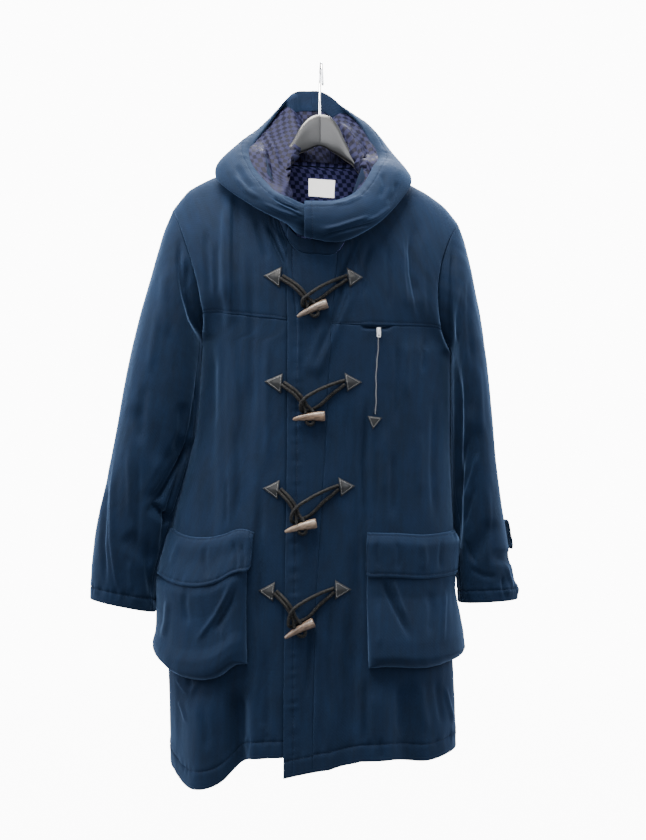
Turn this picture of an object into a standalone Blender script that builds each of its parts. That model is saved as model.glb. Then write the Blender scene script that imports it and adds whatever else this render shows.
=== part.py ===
"""Duffle coat on its hanger, in metres, +Z up, front towards -Y.

The origin is the underside of the hanger hook's crook, where it hangs from its rail.
Left and right are the viewer's, seen from the front. Tables are in millimetres.
"""

import math

import bmesh
import bpy
import numpy as np
from mathutils import Vector
from mathutils.bvhtree import BVHTree

for old in list(bpy.data.objects):
    bpy.data.objects.remove(old)

MM = 0.001
WALL = 2.4  # wadded shell cloth of the coat
HOOD_WALL = 2.6
LINING = 1.0
POCKET_WALL = 1.8
SEAM = 0.3  # space between two sewn pieces
LAP = 1.2  # space between two pieces that lie on each other

# Landmarks of the body: the heights of its middle, and the neck hole's half width
# as a share of the shoulder's half width.
HEM_Z = -1140.0
ARMPIT_Z = -465.0
RIDGE_Z = -135.0
NECK_SHARE = 0.37
ARMHOLE_HALF = 66.0
SQUARENESS = 2.5  # 2 is an ellipse, more is squarer

# A section of the body for each height: edges as the viewer sees them, and depths.
# height, left, right, front, back
BODY = (
    (-1140, -249, 222, 128, 122),
    (-1050, -250, 219, 127, 121),
    (-950, -254, 214, 124, 119),
    (-850, -254, 214, 121, 117),
    (-760, -248, 216, 118, 116),
    (-690, -233, 213, 116, 115),
    (-620, -213, 211, 114, 114),
    (-554, -202, 212, 113, 113),
    (-465, -197, 212, 112, 112),
)
# The armhole seam, from the armpit at 0 to the shoulder at 1.
# share, left, right
ARMHOLE = (
    (0.0, -197, 212),
    (0.1, -193, 200),
    (0.3, -197, 190),
    (0.6, -212, 191),
    (0.85, -231, 207),
    (1.0, -244, 225),
)
# The shoulder line over the hanger, carried on across the neck hole.
# across, height
SHOULDER = (
    (-244, -240),
    (-220, -211),
    (-191, -194),
    (-150, -176),
    (-92, -152),
    (-10, -134),
    (80, -166),
    (140, -196),
    (182, -220),
    (204, -238),
    (225, -264),
)
# The hem, which the front's folds lift and drop.
# across as a share of the half width, front height, back height
HEM = (
    (-1.0, -1146, -1146),
    (-0.9, -1170, -1148),
    (-0.76, -1178, -1144),
    (-0.6, -1161, -1138),
    (-0.5, -1134, -1140),
    (-0.35, -1126, -1146),
    (-0.2, -1124, -1148),
    (0.1, -1124, -1143),
    (0.3, -1130, -1136),
    (0.55, -1129, -1134),
    (0.8, -1133, -1138),
    (1.0, -1122, -1122),
)
# Large folds of the front and the back: ends, half width, and depth (outwards is +).
# across, height, across, height, half width, depth
FRONT_FOLDS = (
    (-132, -1000, -131, -1215, 24, -20),
    (-188, -1000, -190, -1260, 46, 13),
    (-148, -205, -146, -480, 17, 5),
    (-182, -420, -178, -800, 22, -5),
    (-120, -500, -128, -780, 24, -4),
    (16, -425, -18, -520, 22, 5),
    (63, -560, 62, -930, 26, -6),
    (149, -255, 150, -400, 22, -5),
    (-36, -700, -42, -1060, 26, 4),
    (128, -985, 142, -1190, 30, -9),
    (46, -860, 36, -1190, 28, -7),
    (92, -1000, 96, -1190, 22, 5),
)
BACK_FOLDS = (
    (-92, -400, -104, -1010, 34, -7),
    (58, -360, 66, -930, 30, -6),
    (150, -500, 140, -1150, 32, -9),
    (-172, -540, -168, -1190, 30, -9),
    (-14, -640, -6, -1220, 40, 7),
    (96, -820, 100, -1190, 26, 6),
)


def smooth(keys, values, at):
    """The values between a table's rows, on one smooth curve."""
    keys = np.asarray(keys, float)
    values = np.asarray(values, float)
    slopes = np.gradient(values, keys, axis=0)
    at = np.clip(np.asarray(at, float), keys[0], keys[-1])
    low = np.clip(np.searchsorted(keys, at, side="right") - 1, 0, len(keys) - 2)
    step = keys[low + 1] - keys[low]
    u = (at - keys[low]) / step
    if values.ndim > 1:
        u = u[..., None]
        step = step[..., None]
    return (
        (2 * u**3 - 3 * u**2 + 1) * values[low]
        + (u**3 - 2 * u**2 + u) * step * slopes[low]
        + (3 * u**2 - 2 * u**3) * values[low + 1]
        + (u**3 - u**2) * step * slopes[low + 1]
    )


def column(table, index):
    return [row[index] for row in table]


def ease(x):
    x = np.clip(x, 0.0, 1.0)
    return x * x * (3.0 - 2.0 * x)


def unit(vectors):
    return vectors / np.maximum(np.linalg.norm(vectors, axis=-1, keepdims=True), 1e-9)


def fold_height(folds, x, z):
    """How far the folds move a point out of the plain surface."""
    out = np.zeros(np.broadcast(x, z).shape)
    for x0, z0, x1, z1, half, depth in folds:
        length = math.hypot(x1 - x0, z1 - z0)
        along = ((x - x0) * (x1 - x0) + (z - z0) * (z1 - z0)) / length**2
        off = ((x - x0) * (z1 - z0) - (z - z0) * (x1 - x0)) / length
        bell = 0.5 + 0.5 * np.cos(np.pi * np.clip(off / half, -1.0, 1.0))
        ends = ease(along / 0.22) * ease((1.0 - along) / 0.22)
        out = out + depth * bell * ends
    return out


# ---- body surface -------------------------------------------------------------


def squircle(angle):
    return (np.abs(np.cos(angle)) ** SQUARENESS + np.abs(np.sin(angle)) ** SQUARENESS) ** (
        -1.0 / SQUARENESS
    )


ANGLES = np.linspace(0.0, math.pi, 721)
SHARES = -squircle(ANGLES) * np.cos(ANGLES)


def angle_at(share):
    """The angle round the section at a share of its half width, -1 left and 1 right."""
    return np.interp(share, SHARES, ANGLES)


def half_section(t):
    """Middle and half width at t: 0 is the hem, 1 the armpit, 2 the shoulder."""
    height = HEM_Z + np.minimum(t, 1.0) * (ARMPIT_Z - HEM_Z)
    left = smooth(column(BODY, 0), column(BODY, 1), height)
    right = smooth(column(BODY, 0), column(BODY, 2), height)
    up = np.clip(t - 1.0, 0.0, 1.0)
    left = np.where(t > 1.0, smooth(column(ARMHOLE, 0), column(ARMHOLE, 1), up), left)
    right = np.where(t > 1.0, smooth(column(ARMHOLE, 0), column(ARMHOLE, 2), up), right)
    return (left + right) / 2, (right - left) / 2


def share_at(x, t):
    middle, half = half_section(t)
    return (x - middle) / half


def plain_body(side, angle, t):
    """side is -1 for the front and 1 for the back."""
    angle, t = np.broadcast_arrays(np.asarray(angle, float), np.asarray(t, float))
    reach = squircle(angle)
    share = -reach * np.cos(angle)
    deep = reach * np.sin(angle)
    middle, half = half_section(t)
    up = np.clip(t - 1.0, 0.0, 1.0)
    height = HEM_Z + np.minimum(t, 1.0) * (ARMPIT_Z - HEM_Z)
    depth = smooth(column(BODY, 0), column(BODY, 3 if side < 0 else 4), height)
    depth = depth * (1.0 - up**2.2) ** 0.62
    arm = 2.0 * ARMHOLE_HALF * np.sqrt(up * (1.0 - up))
    hem = smooth(column(HEM, 0), column(HEM, 1 if side < 0 else 2), share)
    armpit = ARMPIT_Z - 13.0 * share
    ridge_x = -9.5 + 234.5 * share
    ridge = smooth(column(SHOULDER, 0), column(SHOULDER, 1), ridge_x)
    z = np.where(t < 1.0, hem + t * (armpit - hem), armpit + up * (ridge - armpit))
    y = side * (arm + (depth - arm) * deep)
    return np.stack([middle + half * share, y, z], axis=-1)


def facing(points_at, a, b, da=2e-3, db=2e-3, b_top=None):
    """Unit normals of a surface from its own small steps."""
    high = b + db if b_top is None else np.minimum(b + db, b_top)
    low = high - 2 * db
    across = points_at(a + da, b) - points_at(a - da, b)
    upward = points_at(a, high) - points_at(a, low)
    return unit(np.cross(across, upward))


def body(side, angle, t):
    """The outer surface of the coat's body with its folds."""

    def plain(a, b):
        return plain_body(side, a, b)

    points = plain(angle, t)
    angle, t = np.broadcast_arrays(np.asarray(angle, float), np.asarray(t, float))
    out = facing(plain, angle, t, b_top=1.9995) * -side
    folds = FRONT_FOLDS if side < 0 else BACK_FOLDS
    return points + out * fold_height(folds, points[..., 0], points[..., 2])[..., None]


def body_normals(side, angle, t):
    def folded(a, b):
        return body(side, a, b)

    angle, t = np.broadcast_arrays(np.asarray(angle, float), np.asarray(t, float))
    return facing(folded, angle, t, 6e-3, 6e-3, 1.998) * -side


# ---- walls --------------------------------------------------------------------


MATERIALS = {}


def material(name, rgb, roughness=0.8, metallic=0.0):
    if name not in MATERIALS:
        made = bpy.data.materials.new(name)
        made.use_nodes = True
        shader = made.node_tree.nodes["Principled BSDF"]
        shader.inputs["Base Color"].default_value = (*rgb, 1.0)
        shader.inputs["Roughness"].default_value = roughness
        shader.inputs["Metallic"].default_value = metallic
        MATERIALS[name] = made
    return MATERIALS[name]


NAVY = material("navy_shell_cloth", (0.020, 0.045, 0.095), 0.85)
NAVY_UNDER = material("navy_inner_cloth", (0.016, 0.036, 0.078), 0.85)
CHECK_LINING = material("check_lining_satin", (0.10, 0.10, 0.22), 0.4)
LEATHER = material("dark_grey_leather", (0.055, 0.055, 0.06), 0.5)
CORD = material("black_braided_cord", (0.016, 0.015, 0.013), 0.8)
HORN = material("brown_horn", (0.36, 0.27, 0.20), 0.35)
STEEL = material("polished_zip_steel", (0.62, 0.62, 0.62), 0.25, 1.0)
CHROME = material("chromed_hook_wire", (0.72, 0.72, 0.72), 0.12, 1.0)
WOOD = material("grey_stained_wood", (0.09, 0.092, 0.10), 0.45)
LABEL = material("white_label_tape", (0.80, 0.80, 0.80), 0.7)

NODES = {}


def solid(name, points, faces, made_of):
    """One closed body from points in millimetres and faces of any size."""
    mesh = bpy.data.meshes.new(name)
    mesh.from_pydata([tuple(p) for p in np.asarray(points, float) * MM], [], faces)
    work = bmesh.new()
    work.from_mesh(mesh)
    bmesh.ops.recalc_face_normals(work, faces=work.faces[:])
    for face in work.faces:
        face.smooth = True
    work.to_mesh(mesh)
    work.free()
    mesh.materials.append(made_of)
    made = bpy.data.objects.new(name, mesh)
    bpy.context.scene.collection.objects.link(made)
    NODES[name] = made
    return made


def wall(name, outer, inner, made_of, turn=None):
    """Two grids of points, rows by columns, closed at their edges into one wall.

    The rims' diagonals match a neighbour's that counts the same way, so that both meet
    flat. From column turn on, the bottom rim's neighbour counts the other way.
    """
    rows, cols = outer.shape[:2]
    count = rows * cols
    last = cols - 1

    def at(layer, i, j):
        return layer * count + i * cols + j

    def rim(first, second, crossed):
        a, b, c, d = at(0, *first), at(0, *second), at(1, *second), at(1, *first)
        return [(a, b, d), (b, c, d)] if crossed else [(a, b, c), (a, c, d)]

    faces = []
    for i in range(rows - 1):
        for j in range(last):
            corners = ((i, j), (i, j + 1), (i + 1, j + 1), (i + 1, j))
            a, b, c, d = (at(0, *p) for p in corners)
            faces += [(a, b, c), (a, c, d)]
            a, b, c, d = (at(1, *p) for p in corners)
            faces += [(c, b, a), (d, c, a)]
    for j in range(last):
        faces += rim((0, j), (0, j + 1), turn is not None and j >= turn)
        faces += rim((rows - 1, j), (rows - 1, j + 1), False)
    for i in range(rows - 1):
        faces += rim((i, 0), (i + 1, 0), False)
        faces += rim((i, last), (i + 1, last), False)
    both = np.concatenate([outer.reshape(-1, 3), inner.reshape(-1, 3)])
    return solid(name, both, faces, made_of)


def sew(panels):
    """Gives points that two panels share one normal, so that their edges meet square."""
    sums = {}
    for panel in panels:
        points = panel["points"].reshape(-1, 3)
        normals = panel["normals"].reshape(-1, 3)
        panel["keys"] = [tuple(key) for key in np.round(points * 20).astype(int)]
        for key, normal in zip(panel["keys"], normals):
            sums[key] = sums.get(key, 0.0) + normal
    for panel in panels:
        shared = np.array([sums[key] for key in panel["keys"]])
        panel["normals"] = unit(shared).reshape(panel["points"].shape)


def trimmed(grid, edges, amount, guide):
    """Pulls a grid's named edges in, along the guide's cells: bottom, top, first, last."""
    grid = grid.copy()
    cells = {
        "bottom": (np.s_[0], np.s_[1]),
        "top": (np.s_[-1], np.s_[-2]),
        "first": (np.s_[:, 0], np.s_[:, 1]),
        "last": (np.s_[:, -1], np.s_[:, -2]),
    }
    for name in edges:
        edge, beside = cells[name]
        grid[edge] += unit(guide[beside] - guide[edge]) * amount
    return grid


def panel_wall(name, panel, edges, made_of=NAVY, thick=WALL, lift=0.0, turn=None, gap=SEAM):
    outer = panel["points"] + panel["normals"] * np.asarray(lift)[..., None]
    inner = outer - panel["normals"] * thick
    panel["outer"] = trimmed(outer, edges, gap / 2, outer)
    panel["inner"] = trimmed(inner, edges, gap / 2, outer)
    return wall(name, panel["outer"], panel["inner"], made_of, turn)


# ---- front, back and yoke panels ------------------------------------------------

LOW_ROWS = (0.0, 0.04, 0.10, 0.165, 0.232, 0.29, 0.35, 0.41, 0.475, 0.54, 0.61, 0.69, 0.77, 0.85, 0.93)
YOKE_STEPS = (0.0, 0.2, 0.4, 0.6, 0.8, 0.93, 1.0)
SIDE_ANGLES = np.radians((0, 7, 15, 24, 34, 45, 54, 61.5))
POCKET_SHARE = 0.417

# The storm placket's free edge and its seam to the right front.
# height, free edge, seam
PLACKET = (
    (-1160, -61, -15),
    (-1000, -60, -12),
    (-850, -58, -8),
    (-650, -55, 5),
    (-430, -54, 16),
    (-300, -52, 28),
)


def placket_x(t, index):
    height = np.where(t < 1.0, -1124 + t * 659, -465 + (t - 1.0) * 325)
    return np.interp(height, column(PLACKET, 0), column(PLACKET, index))


def yoke_t(share):
    return 1.10 + 0.08 * share**2


def front_top(share):
    inside = np.clip(np.abs(share) / NECK_SHARE, 0.0, 1.0)
    return 1.433 + 0.567 * inside**4


def back_top(share):
    inside = np.clip(np.abs(share) / NECK_SHARE, 0.0, 1.0)
    return 1.91 + 0.09 * inside**2


def left_columns(t):
    """Shares of the left front's columns in one row, from the side seam to under the lap."""
    free = share_at(placket_x(t, 1), t)
    seam = share_at(placket_x(t, 2), t)
    sides = -squircle(SIDE_ANGLES) * np.cos(SIDE_ANGLES)
    middle = -NECK_SHARE + (free + NECK_SHARE) * np.array((0.0, 0.33, 0.66))
    lapped = free + (seam - free) * np.array((0.0, 0.25, 0.5, 0.75, 0.95))
    return np.concatenate([sides, [-POCKET_SHARE], middle, lapped])


def placket_columns(t):
    free = share_at(placket_x(t, 1), t)
    seam = share_at(placket_x(t, 2), t)
    return free + (seam - free) * np.array((0.0, 0.25, 0.5, 0.75, 1.0))


def right_columns(t):
    seam = share_at(placket_x(t, 2), t)
    sides = squircle(SIDE_ANGLES) * np.cos(SIDE_ANGLES)
    middle = seam + (NECK_SHARE - seam) * np.array((0.0, 0.33, 0.66, 1.0))
    return np.concatenate([middle, [POCKET_SHARE], sides[::-1]])


def back_columns(t):
    sides = squircle(SIDE_ANGLES) * np.cos(SIDE_ANGLES)
    middle = np.linspace(-NECK_SHARE, NECK_SHARE, 9)
    outer = np.concatenate([-sides, [-POCKET_SHARE]])
    return np.concatenate([outer, middle, -outer[::-1]])


# The lapping side hangs lower at its free edge than the side beneath it.
# across, drop
LAP_DROP = ((-61, 33), (12, 19), (36, 9), (62, 0))


def panel_grid(side, columns, lows, highs, top_of, drop=0.0):
    """Points and normals of a panel; lows are rows below the armpit, highs above it."""
    points, normals = [], []
    for value in lows:
        share = columns(np.asarray(value))
        row = body(side, angle_at(share), value)
        lower = np.interp(row[..., 0], column(LAP_DROP, 0), column(LAP_DROP, 1))
        row[..., 2] -= drop * lower * (1.0 - value) ** 2
        points.append(row)
        normals.append(body_normals(side, angle_at(share), value))
    for value in highs:
        share = columns(top_of(np.asarray(0.0), value))
        t = top_of(share, value)
        angle = angle_at(share)
        points.append(body(side, angle, t))
        # At the armpit the surface is that of the row below, not of the armhole above it.
        normals.append(body_normals(side, angle, np.where(np.abs(t - 1.0) < 1e-6, 0.985, t)))
    return {"points": np.array(points), "normals": np.array(normals)}


def under_yoke(share, step):
    return 1.0 + (yoke_t(share) - 1.0) * step


def over_yoke(share, step):
    return yoke_t(share) + (front_top(share) - yoke_t(share)) * step


def up_back(share, step):
    return 1.0 + (back_top(share) - 1.0) * step


EDGE_YOKE = float(yoke_t(np.asarray(1.0))) - 1.0
ARM_STEPS = (0.0, 0.35 * EDGE_YOKE, EDGE_YOKE) + tuple(
    EDGE_YOKE + (1.0 - EDGE_YOKE) * step for step in YOKE_STEPS[1:]
)

front_left = panel_grid(-1, left_columns, LOW_ROWS, (0.0, 0.35, 1.0), under_yoke)
yoke_left = panel_grid(-1, left_columns, (), YOKE_STEPS, over_yoke)
front_right = panel_grid(-1, right_columns, LOW_ROWS, (0.0, 0.35, 1.0), under_yoke, 1.0)
yoke_right = panel_grid(-1, right_columns, (), YOKE_STEPS, over_yoke)
lap_low = panel_grid(-1, placket_columns, LOW_ROWS, (0.0, 0.35), under_yoke, 1.0)
lap_high = panel_grid(-1, placket_columns, (), YOKE_STEPS, over_yoke)
placket = {
    key: np.concatenate([lap_low[key], lap_high[key]]) for key in ("points", "normals")
}
back = panel_grid(1, back_columns, LOW_ROWS, ARM_STEPS, up_back)

# ---- sleeves --------------------------------------------------------------------

# Rings of the sleeves, from the armhole to the cuff, seen from the front: the ring's
# outer and inner end, and how deep it is.
# outer x, outer z, inner x, inner z, middle y, half depth
LEFT_SLEEVE = (
    (-244, -240, -197, -452, 0, 66),
    (-258, -276, -199, -459, -2, 70),
    (-271, -318, -200, -468, -5, 73),
    (-285, -368, -202, -482, -8, 74),
    (-301, -426, -204, -510, -11, 74),
    (-321, -515, -208, -560, -14, 72),
    (-337, -606, -218, -624, -17, 66),
    (-347, -658, -233, -674, -19, 61),
    (-357, -705, -247, -722, -20, 57),
    (-370, -770, -264, -784, -20, 53),
    (-377, -828, -279, -845, -19, 49),
    (-380, -879, -280, -901, -18, 46),
)
RIGHT_SLEEVE = (
    (225, -264, 212, -478, 0, 66),
    (236, -296, 216, -486, 4, 73),
    (246, -335, 219, -496, 8, 79),
    (256, -385, 221, -511, 12, 84),
    (266, -440, 223, -535, 16, 87),
    (276, -510, 225, -575, 20, 87),
    (283, -580, 229, -622, 22, 81),
    (288, -640, 230, -662, 22, 75),
    (295, -700, 230, -714, 21, 69),
    (304, -762, 230, -772, 19, 63),
    (315, -826, 231, -830, 17, 57),
    (325, -882, 232, -888, 16, 53),
)
LEFT_SLEEVE_FOLDS = (
    (-214, -612, -277, -728, 22, -10),
    (-280, -722, -240, -752, 16, -6),
    (-312, -560, -246, -664, 26, -4),
    (-320, -770, -270, -818, 22, -5),
)
RIGHT_SLEEVE_FOLDS = (
    (256, -452, 236, -590, 20, -4),
    (250, -590, 232, -716, 20, -5),
    (284, -748, 238, -818, 20, -6),
)
RINGS = len(LEFT_SLEEVE) - 1
ARM_V = np.array(ARM_STEPS)
ARM_ANGLES = np.arccos(1.0 - 2.0 * ARM_V)
RING_ANGLES = np.concatenate([ARM_ANGLES, 2 * math.pi - ARM_ANGLES[-2:0:-1]])


def armhole_point(sign, angle):
    """The armhole seam: angle 0 is the armpit, a quarter turn the front."""
    up = 0.5 - 0.5 * np.cos(angle)
    edge = math.pi if sign > 0 else 0.0
    front = body(-1, edge + 0.0 * angle, 1.0 + up)
    rear = body(1, edge + 0.0 * angle, 1.0 + up)
    return np.where((np.sin(angle) >= 0)[..., None], front, rear)


def sleeve(sign, angle, ring):
    """sign is -1 for the left sleeve; ring counts along the table's rows."""
    table = LEFT_SLEEVE if sign < 0 else RIGHT_SLEEVE
    folds = LEFT_SLEEVE_FOLDS if sign < 0 else RIGHT_SLEEVE_FOLDS
    angle, ring = np.broadcast_arrays(np.asarray(angle, float), np.asarray(ring, float))
    ox, oz, ix, iz, y0, deep = np.moveaxis(smooth(range(RINGS + 1), table, ring), -1, 0)
    power = 2.0 + 0.3 * np.clip(ring / 4.0, 0.0, 1.0)
    reach = (np.abs(np.cos(angle)) ** power + np.abs(np.sin(angle)) ** power) ** (-1.0 / power)
    along = -reach * np.cos(angle)
    x = (ox + ix) / 2 + (ox - ix) / 2 * along
    z = (oz + iz) / 2 + (oz - iz) / 2 * along
    y = y0 - deep * reach * np.sin(angle)
    points = np.stack([x, y, z], axis=-1)
    first = smooth(range(RINGS + 1), table, 0.0 * ring)
    start = np.stack(
        [
            (first[..., 0] + first[..., 2]) / 2 - (first[..., 0] - first[..., 2]) / 2 * np.cos(angle),
            first[..., 4] - first[..., 5] * np.sin(angle),
            (first[..., 1] + first[..., 3]) / 2 - (first[..., 1] - first[..., 3]) / 2 * np.cos(angle),
        ],
        axis=-1,
    )
    blend = (1.0 - np.clip(ring / 2.5, 0.0, 1.0)) ** 2
    points = points + (armhole_point(sign, angle) - start) * blend[..., None]
    spine = np.stack([(ox + ix) / 2, y0, (oz + iz) / 2], axis=-1)
    out = unit(points - spine)
    height = fold_height(folds, x, z) * ease((np.sin(angle) + 0.35) / 0.5)
    return points + out * height[..., None]


def sleeve_grid(sign, angles):
    ring, angle = np.meshgrid(np.arange(RINGS + 1.0), angles, indexing="ij")

    def at(a, b):
        return sleeve(sign, a, np.maximum(b, 0.0))

    points = sleeve(sign, angle, ring)
    low = np.maximum(ring - 0.05, 0.0)
    high = np.minimum(ring + 0.05, float(RINGS))
    across = at(angle + 0.02, ring) - at(angle - 0.02, ring)
    # One small step away from the seam, where the ring's own shape is still the armhole's.
    downward = at(angle, np.maximum(high, 0.1)) - at(angle, low)
    normals = unit(np.cross(across, downward))
    spine = points.mean(axis=1, keepdims=True)
    turn = np.sign((normals * (points - spine)).sum(axis=-1).sum())
    return {"points": points, "normals": normals * turn}


sleeves = {"left": sleeve_grid(-1, RING_ANGLES), "right": sleeve_grid(1, RING_ANGLES)}
sew([front_left, yoke_left, front_right, yoke_right, placket, back, *sleeves.values()])

# The left front goes under the placket: it sinks just before the free edge.
SINK = np.array([0.0] * 10 + [0.0, 1.0, 1.0, 1.0, 1.0, 1.0, 1.0])
sink = -(WALL + LAP) * SINK

panel_wall("front_left", front_left, ("top", "first"), lift=np.broadcast_to(sink, front_left["points"].shape[:2]))
panel_wall("yoke_left", yoke_left, ("bottom", "top", "first"), lift=np.broadcast_to(sink, yoke_left["points"].shape[:2]))
panel_wall("front_right", front_right, ("top", "first", "last"))
panel_wall("yoke_right", yoke_right, ("bottom", "top", "first", "last"))
panel_wall("placket", placket, ("top", "last"))
panel_wall("back", back, ("top", "first", "last"))

# Each sleeve is a top sleeve and an under sleeve, sewn at the front and the back.
SEAM_FRONT, SEAM_BACK = 1, 11
AWAY = (0.7 * (1.0 - np.clip(np.arange(RINGS + 1.0) / 4.0, 0.0, 1.0)))[:, None]
for side_name, grid in sleeves.items():
    total = grid["points"].shape[1]
    grid["points"][..., 0] += AWAY if side_name == "right" else -AWAY
    cuts = {
        "top": list(range(SEAM_FRONT, SEAM_BACK + 1)),
        "under": list(range(SEAM_BACK, total)) + list(range(SEAM_FRONT + 1)),
    }
    turns = {"top": len(ARM_STEPS) - 1 - SEAM_FRONT, "under": None}
    for cut, picks in cuts.items():
        piece = {key: grid[key][:, picks] for key in ("points", "normals")}
        panel_wall(f"sleeve_{side_name}_{cut}", piece, ("first", "last"), turn=turns[cut], gap=0.45)
        grid[cut] = piece

# ---- neck stand -------------------------------------------------------------------

NECK_AXIS = np.array((-12.0, -15.0))
STAND_FRONT, STAND_BACK = 24.0, 9.0

first_neck = 9  # the left front's first column on the neckline
stand_foot = np.concatenate(
    [
        yoke_left["outer"][-1, :first_neck:-1],
        back["outer"][-1, first_neck : first_neck + 9],
        yoke_right["outer"][-1, 2:0:-1],
        placket["outer"][-1, ::-1],
    ]
)
stand_in = np.concatenate(
    [
        yoke_left["inner"][-1, :first_neck:-1],
        back["inner"][-1, first_neck : first_neck + 9],
        yoke_right["inner"][-1, 2:0:-1],
        placket["inner"][-1, ::-1],
    ]
)


def away_from_neck(points):
    flat = points[..., :2] - NECK_AXIS
    return np.concatenate([unit(flat), np.zeros(points.shape[:-1] + (1,))], axis=-1)


def forwardness(points):
    """1 at the throat, 0 at the sides and the back."""
    return ease((-points[..., 1] - 20.0) / 70.0)


stand_out = away_from_neck(stand_foot)
stand_rise = STAND_BACK + (STAND_FRONT - STAND_BACK) * forwardness(stand_foot)
steps = np.array((0.6, 0.5, 1.0))
stand_rows = []
for share in (0.0, 0.5, 1.0):
    row = stand_foot.copy()
    row[:, 2] += 0.6 + stand_rise * share
    row += stand_out * (1.0 * math.sin(math.pi * share))
    stand_rows.append(row)
stand_outer = np.array(stand_rows)
stand_inner = stand_outer - stand_out * WALL
wall("neck_stand", stand_outer, stand_inner, NAVY)

# ---- hood -------------------------------------------------------------------------

# Stations round the hood from the left end at the throat, over the back, to the right
# end, which laps over the left one. Each is a profile from the opening's edge, out over
# the roll and under it, back to the neck.
# edge, crest, out, low, tuck and seam, each x y z
HOOD = (
    ((13, -106, -247), (13, -116, -253), (13, -124, -266), (13, -121, -280), (13, -113, -286), (13, -104, -290)),
    ((-23, -108, -243), (-23, -119, -248), (-23, -127, -263), (-23, -124, -278), (-23, -115, -284), (-23, -106, -288)),
    ((-47, -112, -233), (-47, -123, -239), (-46, -130, -255), (-45, -127, -271), (-45, -117, -278), (-45, -107, -281)),
    ((-77, -95, -216), (-86, -109, -220), (-98, -117, -232), (-106, -109, -247), (-98, -98, -250), (-66, -86, -240)),
    ((-103, -48, -178), (-121, -60, -175), (-153, -66, -183), (-170, -54, -196), (-152, -45, -199), (-88, -30, -166)),
    ((-113, -5, -137), (-127, -4, -131), (-151, 0, -141), (-163, 5, -158), (-142, 8, -160), (-90, 2, -141)),
    ((-92, 32, -96), (-103, 50, -96), (-124, 86, -128), (-130, 104, -180), (-108, 92, -206), (-66, 36, -150)),
    ((-52, 55, -42), (-57, 75, -50), (-68, 122, -104), (-74, 150, -206), (-60, 128, -262), (-32, 43, -147)),
    ((-17, 58, -38), (-17, 79, -46), (-14, 138, -102), (-12, 168, -222), (-12, 142, -288), (-8, 45, -146)),
    ((28, 53, -57), (33, 74, -60), (44, 124, -110), (50, 152, -210), (38, 126, -266), (20, 44, -148)),
    ((66, 36, -94), (79, 52, -93), (104, 88, -130), (110, 108, -190), (92, 92, -216), (54, 37, -156)),
    ((87, -2, -147), (101, -3, -147), (127, 0, -158), (141, 5, -179), (120, 9, -175), (80, 2, -155)),
    ((82, -45, -176), (97, -57, -176), (124, -64, -191), (143, -53, -211), (122, -47, -214), (76, -32, -180)),
    ((59, -92, -216), (68, -108, -225), (83, -119, -248), (93, -111, -271), (82, -98, -274), (56, -86, -252)),
    ((24, -112, -235), (27, -127, -244), (32, -137, -270), (36, -134, -294), (33, -122, -303), (30, -110, -300)),
    ((-27, -116, -237), (-27, -130, -246), (-27, -138, -268), (-27, -135, -287), (-27, -125, -295), (-27, -114, -297)),
)
HOOD_TABLE = np.array(HOOD, float)
LAST_STATION = len(HOOD) - 1
BACK_STATION = 8
FACING_WIDTH = 35.0
OVER_BODY = 4.5


def polyline(points, steps_each=12):
    share = np.arange((len(points) - 1) * steps_each + 1) / steps_each
    low = np.minimum(share.astype(int), len(points) - 2)
    u = (share - low)[:, None]
    return points[low] * (1 - u) + points[low + 1] * u


STAND_TOP = polyline(stand_outer[-1] - stand_out * (WALL / 2))
HALF_TOP = len(STAND_TOP) // 2


def tree_of(names):
    """The named solids as one set of faces to cast rays at, in millimetres."""
    points, faces = [], []
    for name in names:
        mesh = NODES[name].data
        start = len(points)
        points += [vertex.co / MM for vertex in mesh.vertices]
        faces += [[start + index for index in polygon.vertices] for polygon in mesh.polygons]
    return BVHTree.FromPolygons(points, faces)


UPPER_BODY = tree_of(("yoke_left", "yoke_right", "placket", "back"))


def above_stand(point, station):
    """The nearest place on the stand's top edge, just above it."""
    left = station <= BACK_STATION
    part = STAND_TOP[: HALF_TOP + 40] if left else STAND_TOP[HALF_TOP - 40 :]
    near = part[np.argmin(np.linalg.norm(part[:, :2] - point[:2], axis=1))]
    # The left end passes over the right one's seam.
    rise = 3.7 + 4.4 * float(ease(2.2 - station))
    # Over the shoulders the hood falls away steeply, so it stands a little higher.
    rise += 1.6 * math.exp(-(((station - 4.5) / 1.2) ** 2)) + 0.8 * math.exp(-(((station - 12.5) / 1.5) ** 2))
    return near + np.array((0.0, 0.0, rise))


def hood_profile(station):
    points = smooth(range(LAST_STATION + 1), HOOD_TABLE, np.array([station]))[0]
    points[-1] = above_stand(points[-1], station)
    along = np.concatenate([[0.0], np.cumsum(np.linalg.norm(np.diff(points, axis=0), axis=1))])
    return points, along


def hood(station, share):
    """A point of the hood's outer surface; share runs from the opening to the neck."""
    points, along = hood_profile(float(station))
    return smooth(along, points, np.asarray(share, float) * along[-1])


BELOW_FACING = np.array((0.09, 0.2, 0.34, 0.5, 0.66, 0.8, 0.91, 1.0))


def hood_shares(station):
    """Rows from the opening; the fourth is where the facing ends and the lining begins."""
    facing_end = FACING_WIDTH / hood_profile(float(station))[1][-1]
    band = facing_end * np.array((0.0, 0.35, 0.7, 1.0))
    return np.concatenate([band, facing_end + (1.0 - facing_end) * BELOW_FACING])


def resting(row):
    """Lifts the points that would sink into the shoulders, all but the seam's."""
    for point in row[4:-1]:
        hit = UPPER_BODY.ray_cast(Vector((point[0], point[1], 0.0)), Vector((0, 0, -1)))[0]
        if hit is not None:
            point[2] = max(point[2], hit.z + OVER_BODY)
    return row


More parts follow.
